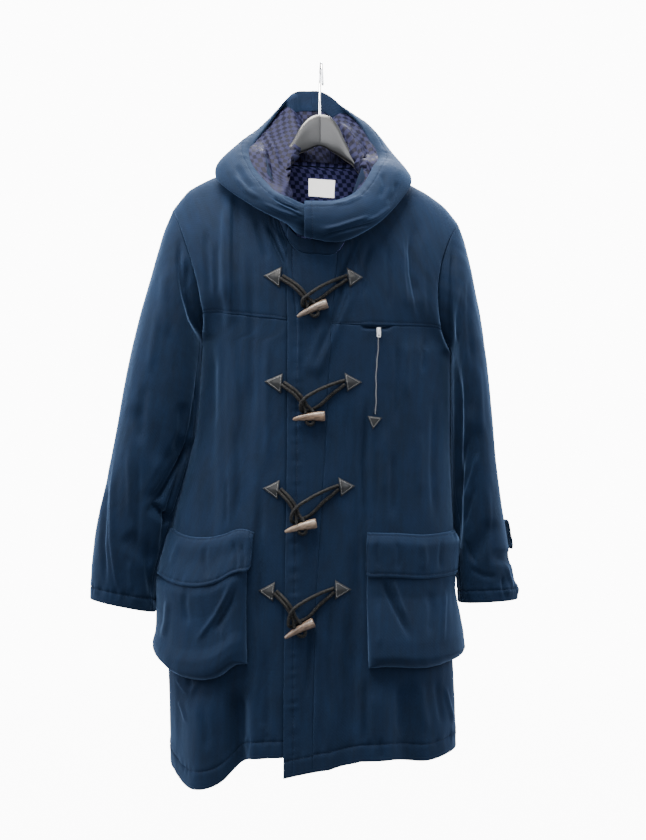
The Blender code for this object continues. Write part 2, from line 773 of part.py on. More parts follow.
def hood_grid(stations):
    points, normals = [], []
    for station in stations:
        shares = hood_shares(station)
        low, high = max(station - 0.06, 0.0), min(station + 0.06, LAST_STATION)
        ahead, behind = np.minimum(shares + 0.01, 1.0), np.maximum(shares - 0.01, 0.0)
        down = hood(station, ahead) - hood(station, behind)
        across = hood(high, hood_shares(high)) - hood(low, hood_shares(low))
        points.append(resting(hood(station, shares)))
        normals.append(unit(np.cross(across, down)))
    return {"points": np.array(points).swapaxes(0, 1), "normals": np.array(normals).swapaxes(0, 1)}


LEFT_STATIONS = (0, 1, 1.6, 2.2, 2.8, 3.4, 4, 4.5, 5, 5.5, 6, 6.5, 7.2, 8)
RIGHT_STATIONS = (8, 8.7, 9.4, 10, 10.5, 11, 11.5, 12, 12.5, 13, 13.5, 14, 14.5, 15)
hood_left = hood_grid(LEFT_STATIONS)
hood_right = hood_grid(RIGHT_STATIONS)
sew([hood_left, hood_right])
panel_wall("hood_left", hood_left, ("last",), thick=HOOD_WALL)
panel_wall("hood_right", hood_right, ("first",), thick=HOOD_WALL)


def rows_of(panel, rows):
    return {key: panel[key][rows] for key in ("points", "normals")}


# The facing and the lining lie on the hood's inner face, on its own rows.
INSIDE_HOOD = -(HOOD_WALL + SEAM)
hood_pieces = {"left": (hood_left, "last"), "right": (hood_right, "first")}
for half, (panel, middle) in hood_pieces.items():
    band = rows_of(panel, slice(0, 4))
    panel_wall(f"hood_facing_{half}", band, ("top", middle), NAVY_UNDER, LINING, INSIDE_HOOD + 0 * band["points"][..., 0])
    sheet = rows_of(panel, slice(3, 10))
    panel_wall(f"hood_lining_{half}", sheet, ("bottom", middle), CHECK_LINING, LINING, INSIDE_HOOD + 0 * sheet["points"][..., 0])

# ---- lining inside the back neck, and its label -------------------------------------

neck_rows = slice(len(LOW_ROWS) + 4, None)
neck_cols = slice(first_neck, first_neck + 9)
neck_cloth = {key: back[key][neck_rows, neck_cols] for key in ("points", "normals")}
neck_lift = -(WALL + 0.4) + 0 * neck_cloth["points"][..., 0]
panel_wall("neck_lining", neck_cloth, (), CHECK_LINING, LINING, neck_lift)


def on_panel(panel, row, col, lift=0.0, layer="outer"):
    """A point on a built panel's own faces, between its rows and columns, moved out."""
    row, col, lift = np.broadcast_arrays(
        np.asarray(row, float), np.asarray(col, float), np.asarray(lift, float)
    )
    grid, normals = panel[layer], panel["normals"]
    i = np.clip(row.astype(int), 0, grid.shape[0] - 2)
    j = np.clip(col.astype(int), 0, grid.shape[1] - 2)
    u, v = (row - i)[..., None], (col - j)[..., None]
    parts = []
    for source in (grid, normals):
        low = source[i, j] * (1 - v) + source[i, j + 1] * v
        high = source[i + 1, j] * (1 - v) + source[i + 1, j + 1] * v
        parts.append(low * (1 - u) + high * u)
    return parts[0] + unit(parts[1]) * lift[..., None]


def lattice(rows, cols):
    return np.meshgrid(np.asarray(rows, float), np.asarray(cols, float), indexing="ij")


# left and right edge as the lining's columns, lower and upper edge as its rows
LABEL_COLS = (3.52, 4.0, 4.6, 5.0, 5.75)
LABEL_ROWS = (2.15, 2.6, 3.07)
label_row, label_col = lattice(LABEL_ROWS, LABEL_COLS)
label_face = on_panel(neck_cloth, label_row, label_col, -1.1, "inner")
label_back = on_panel(neck_cloth, label_row, label_col, -0.5, "inner")
wall("neck_label", label_back, label_face, LABEL)

# ---- pockets --------------------------------------------------------------------

ROW_T = LOW_ROWS + (1.0,)


def row_at(t):
    """The panel row, with its fraction, at a height t of the lower body."""
    return np.interp(t, ROW_T, range(len(ROW_T)))


# How far the bags stand out, by height.
# t, depth
LEFT_DEPTH = ((0.22, 18), (0.262, 24), (0.285, 24), (0.31, 19), (0.33, 18), (0.38, 17), (0.43, 20), (0.515, 7))
RIGHT_DEPTH = ((0.225, 14), (0.25, 22), (0.29, 20), (0.344, 14), (0.396, 7), (0.53, 8))


POCKET_SEAT = 1.0


def depth_at(table, t):
    return np.interp(t, column(table, 0), column(table, 1))


def bag(name, panel, table, cols, bottoms, top):
    """A patch pocket on folded-in sides: closed at the sides and below, open above."""
    middle = np.arange(math.floor(cols[0]) + 1, math.ceil(cols[1]))
    middle = middle[(middle > cols[0] + 0.25) & (middle < cols[1] - 0.25)]
    across = np.array([cols[0], cols[0] + 0.03, cols[0] + 0.12, *middle, cols[1] - 0.12, cols[1] - 0.03, cols[1]])
    out = np.array([0.0, 0.55, 1.0] + [1.0] * len(middle) + [1.0, 0.55, 0.0])
    inside = [t for t in LOW_ROWS if max(bottoms) + 0.02 < t < top - 0.01]
    bottom = np.interp(across, cols, bottoms)
    heights = [bottom, bottom + 0.003, bottom + 0.011] + [t + 0 * bottom for t in inside] + [top + 0 * bottom]
    heights = np.array(heights)
    rise = np.array([0.0, 0.55, 1.0] + [1.0] * (len(heights) - 3))
    depth = depth_at(table, heights)
    share = np.minimum(rise[:, None], out[None, :])
    row = row_at(heights)
    col = across + 0 * row
    outer = on_panel(panel, row, col, POCKET_SEAT + (depth - POCKET_SEAT) * share)
    high = row[-1:]
    low = row[:1]
    row = low + 0.05 + (row - low) * (high - low - 0.05) / (high - low)
    col = cols[0] + 0.1 + (col - cols[0]) * (cols[1] - cols[0] - 0.2) / (cols[1] - cols[0])
    inner = on_panel(panel, row, col, POCKET_SEAT + (depth - POCKET_WALL - POCKET_SEAT) * share)
    wall(name, outer, inner, NAVY)


def flap(name, panel, table, cols, heights, end_share, slant, dip):
    """A flap sewn along its top edge above the bag, over the bag's mouth.

    Its first end slants by so many columns at the top, and its other end's top dips.
    """
    middle = np.arange(math.floor(cols[0]) + 1, math.ceil(cols[1]))
    middle = middle[(middle > cols[0] + 0.5) & (middle < cols[1] - 0.5)]
    across = np.array([cols[0], cols[0] + 0.3, *middle, cols[1] - 0.3, cols[1]])
    clear = depth_at(table, heights) + 0.9
    clear[0], clear[1] = POCKET_SEAT, 5.2
    full = np.ones(len(across))
    full[0], full[-1] = end_share
    seat = POCKET_SEAT + (clear - POCKET_SEAT)[:, None] * full[None, :]
    upper = np.array((1.0, 0.8, 0.5, 0.2, 0.0, 0.0))[:, None]
    near_first = np.clip(1.0 - (across - cols[0]), 0.0, 1.0)[None, :]
    near_last = np.clip((across - cols[1] + 2.2) / 2.2, 0.0, 1.0)[None, :]
    row = row_at(heights[:, None] - dip * upper * near_last)
    col = across[None, :] + slant * upper * near_first
    wall(name, on_panel(panel, row, col, seat + WALL), on_panel(panel, row, col, seat), NAVY)


bag("pocket_left", front_left, LEFT_DEPTH, (0.26, 7.95), (0.264, 0.228), 0.515)
bag("pocket_right", front_right, RIGHT_DEPTH, (3.4, 11.6), (0.225, 0.228), 0.522)
FLAP_T = np.array((0.557, 0.545, 0.532, 0.503, 0.475, 0.449))
flap("flap_left", front_left, LEFT_DEPTH, (0.06, 8.65), FLAP_T, (0.65, 0.6), 0.0, 0.016)
flap("flap_right", front_right, RIGHT_DEPTH, (3.2, 11.75), FLAP_T - 0.006, (0.8, 0.5), 0.0, 0.0)

# ---- toggles --------------------------------------------------------------------

FRONT_SOLIDS = tree_of(("front_left", "front_right", "yoke_left", "yoke_right", "placket"))


def cloth_y(x, z):
    """The cloth's front face at this place of the front view."""
    hit = FRONT_SOLIDS.ray_cast(Vector((x, -400.0, z)), Vector((0, 1, 0)))[0]
    return hit.y


def rest_y(x, z):
    """The foremost cloth close by, which a cord or a horn lies on."""
    near = ((0, 0), (-4, 0), (4, 0), (0, -4), (0, 4))
    return min(cloth_y(x + dx, z + dz) for dx, dz in near)


def over_cloth(points):
    """Points given as x, z and a height above the cloth."""
    return np.array([(x, rest_y(x, z) - height, z) for x, z, height in points])


def patch(name, tip, first, second, dome):
    """A leather triangle, thicker in the middle of its base where cord ends lie beneath."""
    tip, first, second = (np.array(corner, float) for corner in (tip, first, second))
    parts = 4
    index, low, high = {}, [], []
    for i in range(parts + 1):
        for j in range(parts + 1 - i):
            a, b = i / parts, j / parts
            x, z = tip * (1 - a - b) + first * a + second * b
            index[i, j] = len(low)
            base = a + b
            middle = 1.0 - abs(a - b) / max(base, 1e-6)
            rise = 1.8 + dome * float(ease(base * 1.3 - 0.2)) * middle**0.7
            seat = rest_y(x, z) - 0.35
            low.append((x, seat, z))
            high.append((x, seat - rise, z))
    count = len(low)
    faces = []
    for i in range(parts):
        for j in range(parts - i):
            tile = [index[i, j], index[i + 1, j], index[i, j + 1]]
            faces += [tile, [count + k for k in tile[::-1]]]
            if i + j < parts - 1:
                tile = [index[i + 1, j], index[i + 1, j + 1], index[i, j + 1]]
                faces += [tile, [count + k for k in tile[::-1]]]
    rim = [(i, 0) for i in range(parts)] + [(parts - j, j) for j in range(parts)]
    rim += [(0, parts - i) for i in range(parts)]
    rim = [index[key] for key in rim]
    for a, b in zip(rim, rim[1:] + rim[:1]):
        faces.append([a, count + a, count + b, b])
    return solid(name, low + high, faces, LEATHER)


def loft(name, rings, made_of, hidden=False):
    """A solid through closed rings of points, with flat ends."""
    rings = np.array(rings)
    count, around = rings.shape[:2]
    faces = [list(range(around)), [(count - 1) * around + k for k in range(around)]]
    for i in range(count - 1):
        for k in range(around):
            n = (k + 1) % around
            faces.append([i * around + k, i * around + n, (i + 1) * around + n, (i + 1) * around + k])
    made = solid(name, rings.reshape(-1, 3), faces, made_of)
    made.hide_render = hidden
    return made


def tube_rings(path, radii, around, start=0.0):
    """Rings square to a path, turned as little as possible from one to the next."""
    path = np.asarray(path, float)
    along = unit(np.gradient(path, axis=0))
    aside = unit(np.cross(along[0], (0.0, 0.3, 1.0)))
    turns = np.arange(around) * 2 * math.pi / around + start
    rings = []
    for point, way, radius in zip(path, along, radii):
        aside = unit(aside - way * aside.dot(way))
        other = np.cross(way, aside)
        ring = [point + radius * (aside * math.cos(a) + other * math.sin(a)) for a in turns]
        rings.append(ring)
    return rings


def cord(name, path, diameter, made_of, count, sides=1):
    """A round cord or wire along a smooth path."""
    path = np.asarray(path, float)
    keys = np.concatenate([[0.0], np.cumsum(np.linalg.norm(np.diff(path, axis=0), axis=1))])
    at = np.interp(np.linspace(0, len(path) - 1, count), range(len(path)), keys)
    points = smooth(keys, path, at)
    curve = bpy.data.curves.new(name, "CURVE")
    curve.dimensions = "3D"
    curve.bevel_depth = diameter / 2 * MM
    curve.bevel_resolution = sides
    curve.use_fill_caps = True
    spline = curve.splines.new("POLY")
    spline.points.add(len(points) - 1)
    for spot, place in zip(spline.points, points):
        spot.co = (*(place * MM), 1.0)
    curve.materials.append(made_of)
    made = bpy.data.objects.new(name, curve)
    bpy.context.scene.collection.objects.link(made)
    NODES[name] = made
    return points


def boolean(target, other, operation):
    other.hide_render = True
    made = target.modifiers.new(operation.lower(), "BOOLEAN")
    made.operation = operation
    made.object = other
    made.solver = "EXACT"
    return made


CORD_MM = 4.6
HOLE_MM = 5.8
HORN_WIDE = 15.6
# Share of the horn from its tip, and its half width as a share of the butt's.
HORN_FORM = ((0.0, 0.16), (0.025, 0.3), (0.1, 0.42), (0.3, 0.6), (0.6, 0.82), (0.92, 1.0), (0.985, 0.97), (1.0, 0.86))
# Each toggle's places in the front view: the left patch's tip and base, the right patch's
# base and tip, the horn's tip and butt, and where the loop crosses over the pair.
# left tip, left base, left base, right base, right base, right tip, horn tip, butt, crossing
TOGGLES = (
    ((-92.5, -356.4), (-63.8, -341.8), (-66.8, -376.0), (40.4, -343.0), (45.4, -375.4), (66.7, -358.8), (-38.8, -422.9), (9.4, -401.5), (-21.7, -389.0)),
    ((-91.2, -525.5), (-62.0, -512.7), (-64.4, -545.1), (36.8, -511.5), (41.1, -542.1), (64.8, -526.8), (-45.5, -586.2), (5.7, -580.9), (-25.9, -552.5)),
    ((-93.6, -695.8), (-66.7, -682.5), (-69.9, -713.5), (27.0, -678.2), (31.1, -709.2), (53.7, -692.2), (-58.3, -764.6), (-7.8, -750.6), (-38.9, -725.5)),
    ((-100.7, -858.5), (-74.0, -844.5), (-76.8, -876.0), (21.7, -841.5), (21.7, -872.5), (48.0, -856.7), (-58.2, -932.4), (-11.8, -907.3), (-43.3, -885.5)),
)
HOLE_SHARES = (0.63, 0.42)


def horn_radius(share):
    return HORN_WIDE / 2 * float(np.interp(share, column(HORN_FORM, 0), column(HORN_FORM, 1)))


for number, places in enumerate(TOGGLES, start=1):
    left_tip, left_a, left_b, right_a, right_b, right_tip, tip, butt, crossing = (np.array(p) for p in places)
    patch(f"patch_left_{number}", left_tip, left_a, left_b, 3.2)
    patch(f"patch_right_{number}", right_tip, right_a, right_b, 3.2)

    # The horn lies on the placket, its tip to the left.
    tip_3d, middle_3d, butt_3d = over_cloth([(*tip, 8.0), (*((tip + butt) / 2), 8.9), (*butt, 9.8)])
    bulge = min(middle_3d[1] - (tip_3d[1] + butt_3d[1]) / 2, 0.0)
    tip_3d[1] += bulge
    butt_3d[1] += bulge
    line = unit(butt_3d - tip_3d)
    sag = np.array((0.0, 0.0, 1.0)) - line * line[2]
    form = np.array(HORN_FORM)
    bow = 1.6 * np.sin(np.pi * form[:, 0])
    spine = tip_3d + (butt_3d - tip_3d) * form[:, :1] + unit(sag) * bow[:, None]
    horn = loft(f"horn_{number}", tube_rings(spine, form[:, 1] * HORN_WIDE / 2, 12), HORN)
    across = unit(np.cross(line, (0.0, 1.0, 0.0)))
    if across[2] < 0:
        across = -across
    ends = []
    for share in HOLE_SHARES:
        middle = tip_3d + (butt_3d - tip_3d) * share + unit(sag) * 1.6 * math.sin(math.pi * share)
        radius = horn_radius(share)
        bore = [middle - across * (radius + 4), middle + across * (radius + 4)]
        cutter = loft(f"hole_{number}_{len(ends)}", tube_rings(bore, (HOLE_MM / 2, HOLE_MM / 2), 10), HORN, True)
        boolean(horn, cutter, "DIFFERENCE")
        ends.append((middle + across * (radius + 2.0), middle, middle - across * (radius + 2.0)))

    # The pair of strands from the left patch, through the horn, joined below it.
    base = (left_a + left_b) / 2 + np.array((4.6, 0.0))
    goal = (ends[0][0] + ends[1][0]) / 2
    goal = np.array((goal[0], goal[2]))
    way = goal - base
    side = unit(np.array((-way[1], way[0])))
    strands = []
    for sign, (above, inside, below) in ((1.0, ends[0]), (-1.0, ends[1])):
        spots = []
        for share, arch, height in ((0.0, 0.0, 3.4), (0.12, 1.6, 5.0), (0.35, 4.4, 7.6), (0.62, 4.4, 8.6), (0.85, 1.6, 9.0)):
            spot = base + way * share + side * (sign * 3.1 + arch)
            spots.append((*spot, height))
        strand = list(over_cloth(spots)) + [above, inside, below]
        strands.append(strand)
    lowest = (ends[0][2] + ends[1][2]) / 2 - across * 4.6
    quarter = [
        ends[0][2] * 0.82 + ends[1][2] * 0.18 - across * 3.2,
        ends[0][2] * 0.18 + ends[1][2] * 0.82 - across * 3.2,
    ]
    cord(f"cord_{number}", strands[0] + [quarter[0], lowest, quarter[1]] + strands[1][::-1], CORD_MM, CORD, 31)

    # The loop from the right patch goes over the pair, round its left and back under it.
    start = (right_a + right_b) / 2 - np.array((4.6, 0.0))
    toward = unit(across[[0, 2]])
    leftwards = np.array((-toward[1], toward[0]))
    near_horn = ends[1][0][[0, 2]]
    hook = near_horn + toward * 4.0 + leftwards * 6.6
    turning = near_horn + toward * 1.6 + leftwards * 3.4
    under = (ends[0][0] + ends[1][0])[[0, 2]] / 2 + toward * 2.0
    out_way = crossing - start
    upper = [start + np.array((0.0, 3.1))]
    upper += [start + out_way * share + np.array((0.0, 3.1 + arch)) for share, arch in ((0.15, 1.0), (0.45, 2.0), (0.75, 0.8))]
    lower = [start - np.array((0.0, 3.1))]
    back_way = (under + np.array((15.0, 7.0))) - start
    lower += [start + back_way * share - np.array((0.0, 3.1 - arch)) for share, arch in ((0.15, 0.4), (0.5, 2.6))]
    spots = [(*upper[0], 3.4), (*upper[1], 4.4), (*upper[2], 8.5), (*upper[3], 12.2), (*crossing, 14.4)]
    spots += [(*((crossing + hook) / 2 + np.array((-3.5, 1.5))), 13.2), (*hook, 8.4)]
    spots += [(*turning, 3.6), (*under, 2.9), (*(under + np.array((15.0, 7.0))), 2.9)]
    spots += [(*lower[2], 3.0), (*lower[1], 3.2), (*lower[0], 3.4)]
    cord(f"loop_{number}", over_cloth(spots), CORD_MM, CORD, 24)

# ---- chest zip --------------------------------------------------------------------

ZIP_TOP = np.array((91.0, -441.0))
ZIP_END = np.array((85.5, -577.0))


def zip_spot(share):
    x, z = ZIP_TOP + (ZIP_END - ZIP_TOP) * share
    return x + 0.8 * math.sin(share * 9.0), z


# The teeth's band on the cloth, from under the slider to the leather triangle.
band_face, band_back = [], []
for share in np.linspace(0.075, 1.0, 16):
    x, z = zip_spot(share)
    face, under = [], []
    for offset, height in ((-1.8, 1.0), (-0.9, 1.8), (0.9, 1.8), (1.8, 1.0)):
        seat = cloth_y(x + offset, z) - 0.5
        under.append((x + offset, seat, z))
        face.append((x + offset, seat - height, z))
    band_face.append(face)
    band_back.append(under)
wall("zip_chain", np.array(band_face), np.array(band_back), STEEL)
patch("zip_patch", (82.0, -602.0), (73.7, -580.5), (97.0, -583.5), 0.8)

# The slider stands square to the cloth: aside, down and out are its own directions.
zip_x, zip_z = zip_spot(0.02)
here = np.array((zip_x, cloth_y(zip_x, zip_z), zip_z))
beside = np.array((zip_x + 5, cloth_y(zip_x + 5, zip_z), zip_z))
beneath = np.array((zip_x, cloth_y(zip_x, zip_z - 8), zip_z - 8))
aside = unit(beside - here)
down = unit(beneath - here)
out = unit(np.cross(aside, down))
if out[1] > 0:
    out = -out
down = unit(np.cross(out, aside))
if down[2] > 0:
    down = -down
foot = here + out * 0.75


def placed(origin, points):
    """Points given as aside, down and out from an origin."""
    return np.array([origin + aside * a + down * d + out * o for a, d, o in points])


def plate(name, outline, low, high, made_of, hidden=False):
    """A flat outline, given as aside and down, between two heights."""
    rings = [placed(foot, [(a, d, height) for a, d in outline]) for height in (low, high)]
    return loft(name, rings, made_of, hidden)


SLIDER = ((-2.4, -4.6), (2.4, -4.6), (3.4, -2.0), (3.4, 3.2), (2.6, 5.6), (-2.6, 5.6), (-3.4, 3.2), (-3.4, -2.0))
slider = plate("zip_slider", SLIDER, 0.0, 2.6, STEEL)
PIN_OUT = 3.8
HALF_ARCH = 1.15
ARCH_MM = 1.3
arch_ring = []
for down_by, out_by in ((-HALF_ARCH - ARCH_MM, -1.6), (-HALF_ARCH - ARCH_MM, HALF_ARCH + 0.5), (-HALF_ARCH - 0.4, HALF_ARCH + ARCH_MM),
                        (HALF_ARCH + 0.4, HALF_ARCH + ARCH_MM), (HALF_ARCH + ARCH_MM, HALF_ARCH + 0.5), (HALF_ARCH + ARCH_MM, -1.6),
                        (HALF_ARCH, -1.6), (HALF_ARCH, HALF_ARCH), (-HALF_ARCH, HALF_ARCH), (-HALF_ARCH, -1.6)):
    arch_ring.append((down_by, PIN_OUT + out_by))
arch = loft("slider_arch", [placed(foot, [(a, d, o) for d, o in arch_ring]) for a in (-0.7, 0.7)], STEEL, True)
boolean(slider, arch, "UNION")

# The pull tab hangs by its top bar in the slider's arch.
TAB = ((-2.7, -0.6), (2.7, -0.6), (3.3, 0.2), (3.3, 9.6), (2.4, 11.4), (-2.4, 11.4), (-3.3, 9.6), (-3.3, 0.2))
pull = plate("zip_pull", TAB, PIN_OUT - 0.55, PIN_OUT + 0.55, STEEL)
window = plate("pull_window", ((-1.6, 0.6), (1.6, 0.6), (1.6, 4.4), (-1.6, 4.4)), PIN_OUT - 2, PIN_OUT + 2, STEEL, True)
boolean(pull, window, "DIFFERENCE")
ring_hole = [(1.3 * math.cos(a), 8.4 + 1.3 * math.sin(a)) for a in np.arange(10) * math.pi / 5]
boolean(pull, plate("pull_hole", ring_hole, PIN_OUT - 2, PIN_OUT + 2, STEEL, True), "DIFFERENCE")

# ---- cuff straps ------------------------------------------------------------------

# How each strap leaves its sleeve: column of the top sleeve's cloth, and height over it.
# The right strap's end stands off, the left one lies flat.
# column, height
STRAPS = {
    "left": ((8.75, 0.5), (8.4, 0.6), (8.0, 0.7), (7.7, 0.8), (7.4, 0.8)),
    "right": ((8.75, 0.5), (8.0, 0.6), (7.5, 0.9), (7.0, 2.2), (6.75, 5.0)),
}
for side_name, strap in STRAPS.items():
    row, col = lattice((8.85, 9.0, 9.3, 9.6), column(strap, 0))
    lift = np.array(column(strap, 1))[None, :] + 0 * row
    face = on_panel(sleeves[side_name]["top"], row, col, lift + WALL)
    under = on_panel(sleeves[side_name]["top"], row, col, lift)
    wall(f"tab_{side_name}", face, under, NAVY)

# ---- hanger -----------------------------------------------------------------------

# The arms from the left end to the right one. Beyond the neck they follow the shoulder.
# across, top height, bottom height, half thickness
HANGER = (
    (-204, -222, -225, 4),
    (-202, -216, -228, 8),
    (-192, -199.5, -224, 10),
    (-150, -180.5, -208, 10),
    (-112, -171, -194, 9),
    (-92, -170, -188, 8.5),
    (-74, -157, -177, 8),
    (-60, -142, -166, 8),
    (-46, -124, -153, 8),
    (-36, -105, -148, 7.5),
    (-24, -91, -143, 7),
    (-3, -83, -135, 7),
    (19, -91, -146, 7),
    (29, -105, -152, 7.5),
    (38, -125, -159, 8),
    (50, -146, -167, 8),
    (62, -166, -182, 8),
    (78, -182, -195, 8.5),
    (100, -182, -200, 9),
    (140, -200.5, -222, 10),
    (180, -225, -248, 10),
    (190, -238, -250, 8),
    (192, -243, -247, 4),
)
arms = []
for x, top, bottom, thick in HANGER:
    turns = np.arange(8) * math.pi / 4
    deep = (top - bottom) / 2
    arms.append([(x, thick * math.cos(a), (top + bottom) / 2 + deep * math.sin(a)) for a in turns])
loft("hanger", arms, WOOD)

HOOK_RADIUS = 19.0
HOOK_MM = 4.0
hook_path = [(-3, 0, -82.7), (-3, 0.3, -71), (-3, 3.5, -58), (-2.8, 9.5, -45), (-2.6, 15, -34)]
for degrees in (105, 80, 50, 25, 0, -25, -50, -80, -105):
    turn = math.radians(degrees)
    x = -2.4 + 3.6 * (105 - degrees) / 210
    hook_path.append((x, HOOK_RADIUS * math.sin(turn), HOOK_RADIUS * math.cos(turn) - HOOK_RADIUS + HOOK_MM / 2))
hook_path.append((1.8, -17.4, -31))
hook_path.append((2.2, -16.6, -38))
cord("hanger_hook", hook_path, HOOK_MM, CHROME, 26, 2)
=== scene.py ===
"""How a navy duffle coat on its hanger looks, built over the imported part, in metres.

Tables are in millimetres: x to the viewer's right, z up, the coat's front towards -y.
The origin is the underside of the hanger hook's crook.
"""

import math

import bpy
import numpy as np
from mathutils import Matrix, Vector
from mathutils.bvhtree import BVHTree


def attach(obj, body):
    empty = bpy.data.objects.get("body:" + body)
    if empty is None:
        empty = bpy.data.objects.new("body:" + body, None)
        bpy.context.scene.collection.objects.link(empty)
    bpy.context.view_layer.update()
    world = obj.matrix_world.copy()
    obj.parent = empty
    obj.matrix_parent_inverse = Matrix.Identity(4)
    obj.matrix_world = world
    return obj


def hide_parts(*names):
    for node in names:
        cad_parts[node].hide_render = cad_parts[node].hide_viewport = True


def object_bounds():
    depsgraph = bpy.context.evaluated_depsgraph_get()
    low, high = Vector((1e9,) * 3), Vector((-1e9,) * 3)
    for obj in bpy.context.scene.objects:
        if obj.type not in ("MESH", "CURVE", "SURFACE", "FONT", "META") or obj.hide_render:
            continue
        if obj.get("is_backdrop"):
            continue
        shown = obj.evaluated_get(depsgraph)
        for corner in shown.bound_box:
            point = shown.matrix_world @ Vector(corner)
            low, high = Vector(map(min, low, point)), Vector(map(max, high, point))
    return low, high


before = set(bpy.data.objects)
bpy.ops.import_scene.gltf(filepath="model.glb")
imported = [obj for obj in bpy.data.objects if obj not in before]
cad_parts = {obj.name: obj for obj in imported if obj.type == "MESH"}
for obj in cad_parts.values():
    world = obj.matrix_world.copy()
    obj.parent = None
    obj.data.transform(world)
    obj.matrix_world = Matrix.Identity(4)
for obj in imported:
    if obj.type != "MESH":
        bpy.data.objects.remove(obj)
cad_low, cad_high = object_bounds()

# ---- studio ---------------------------------------------------------------------
# A room lit evenly by white walls, with one large soft lamp at the upper left and
# weaker ones in front, at the sides and behind, over a matt white paper floor that runs
# out into the light.

scene = bpy.context.scene


def linked(made):
    scene.collection.objects.link(made)
    return made


def colour(code):
    """An sRGB hex colour as linear RGBA."""
    parts = [int(code[i : i + 2], 16) / 255 for i in (1, 3, 5)]
    return (*[c / 12.92 if c <= 0.04045 else ((c + 0.055) / 1.055) ** 2.4 for c in parts], 1.0)


def add(tree, kind, inputs=None, **settings):
    """Adds a node; each input takes a value, or another node's output."""
    made = tree.nodes.new(kind)
    for key, value in settings.items():
        setattr(made, key, value)
    for key, value in (inputs or {}).items():
        if isinstance(value, bpy.types.NodeSocket):
            tree.links.new(value, made.inputs[key])
        else:
            made.inputs[key].default_value = value
    return made


def finish(name, **surface):
    """A material, its nodes and its surface shader, whose plain values are given."""
    made = bpy.data.materials.new(name)
    made.use_nodes = True
    shader = made.node_tree.nodes["Principled BSDF"]
    for key, value in surface.items():
        shader.inputs[key.replace("_", " ")].default_value = value
    return made, made.node_tree, shader


def noise(tree, place, scale, detail, **more):
    """A cloudy pattern from 0 to 1, with about this many waves to the metre."""
    inputs = {"Vector": place, "Scale": scale, "Detail": detail, **more}
    return add(tree, "ShaderNodeTexNoise", inputs).outputs["Fac"]


def ranged(tree, value, low=0.0, high=1.0, to_low=0.0, to_high=1.0):
    """A pattern's values between low and high, carried over to another range."""
    ends = {"From Min": low, "From Max": high, "To Min": to_low, "To Max": to_high}
    return add(tree, "ShaderNodeMapRange", {"Value": value, **ends}).outputs[0]


def bumped(tree, shader, height, strength, metres):
    """Lets the light see a pattern as small heights of the surface."""
    bump = add(tree, "ShaderNodeBump", {"Height": height, "Strength": strength, "Distance": metres})
    tree.links.new(bump.outputs[0], shader.inputs["Normal"])


camera = linked(bpy.data.objects.new("camera", bpy.data.cameras.new("camera")))
camera.location = (0.0025, -3.3, -0.587)
camera.rotation_euler = (math.radians(90), 0, 0)
camera.data.sensor_width = 36.0
camera.data.lens = 36.0 * 2000 / 840
scene.camera = camera

world = bpy.data.worlds.new("white_room")
scene.world = world
world.use_nodes = True
room = world.node_tree
room.nodes.clear()
seen = add(room, "ShaderNodeBackground", {"Color": colour("#ffffff"), "Strength": 12.0})
lit = add(room, "ShaderNodeBackground", {"Color": colour("#f2f5fa"), "Strength": 0.95})
which = add(room, "ShaderNodeLightPath").outputs["Is Camera Ray"]
both = add(room, "ShaderNodeMixShader", {0: which, 1: lit.outputs[0], 2: seen.outputs[0]})
add(room, "ShaderNodeOutputWorld", {"Surface": both.outputs[0]})

# place, aim, size, watts, colour
LAMPS = {
    "lamp_above": ((-0.45, -0.75, 1.9), (0.0, 0.0, -0.3), 1.8, 440.0, "#fffaf2"),
    "lamp_front": ((-0.35, -3.3, 0.5), (0.0, 0.0, -0.4), 2.0, 65.0, "#fbfcff"),
    "lamp_left": ((-2.8, -0.4, 0.5), (-0.2, 0.0, -0.5), 1.6, 165.0, "#f8faff"),
    "lamp_behind": ((0.3, 2.4, 2.2), (0.0, 0.0, -0.5), 1.6, 330.0, "#f8faff"),
    "lamp_right": ((2.7, -0.4, 0.6), (0.2, 0.0, -0.6), 1.6, 125.0, "#f4f8ff"),
}
for name, (place, aim, size, watts, tint) in LAMPS.items():
    lamp = bpy.data.lights.new(name, "AREA")
    lamp.size = size
    lamp.energy = watts
    lamp.color = colour(tint)[:3]
    stand = linked(bpy.data.objects.new(name, lamp))
    stand.location = place
    stand.rotation_euler = (Vector(aim) - Vector(place)).to_track_quat("-Z", "Y").to_euler()

paper, tree, shader = finish("matt_white_paper", Base_Color=colour("#f3f2f0"), Roughness=0.95)
spot = add(tree, "ShaderNodeTexCoord").outputs["Object"]
far = add(tree, "ShaderNodeVectorMath", {0: spot}, operation="LENGTH").outputs["Value"]
bumped(tree, shader, noise(tree, spot, 2.6, 3.0), 0.25, 0.03)
fade = ranged(tree, far, 0.8, 4.2, 0.9)
clear = add(tree, "ShaderNodeBsdfTransparent").outputs[0]
blend = add(tree, "ShaderNodeMixShader", {0: fade, 1: shader.outputs[0], 2: clear})
tree.links.new(blend.outputs[0], tree.nodes["Material Output"].inputs["Surface"])
turns = np.arange(64) * math.tau / 64
disc = bpy.data.meshes.new("floor")
disc.from_pydata([(5 * math.cos(a), 5 * math.sin(a), 0) for a in turns], [], [range(64)])
disc.materials.append(paper)
floor = linked(bpy.data.objects.new("floor", disc))
floor.location = (0, 0, -1.5)
floor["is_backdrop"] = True

# ---- body: fronts, yokes, storm placket and back -----------------------------------
# Peach-skin microfibre cloth, woven in a fine twill and brushed, over a light wadding.
# Cut in flat panels and sewn with felled seams; it hangs in folds from the shoulders.

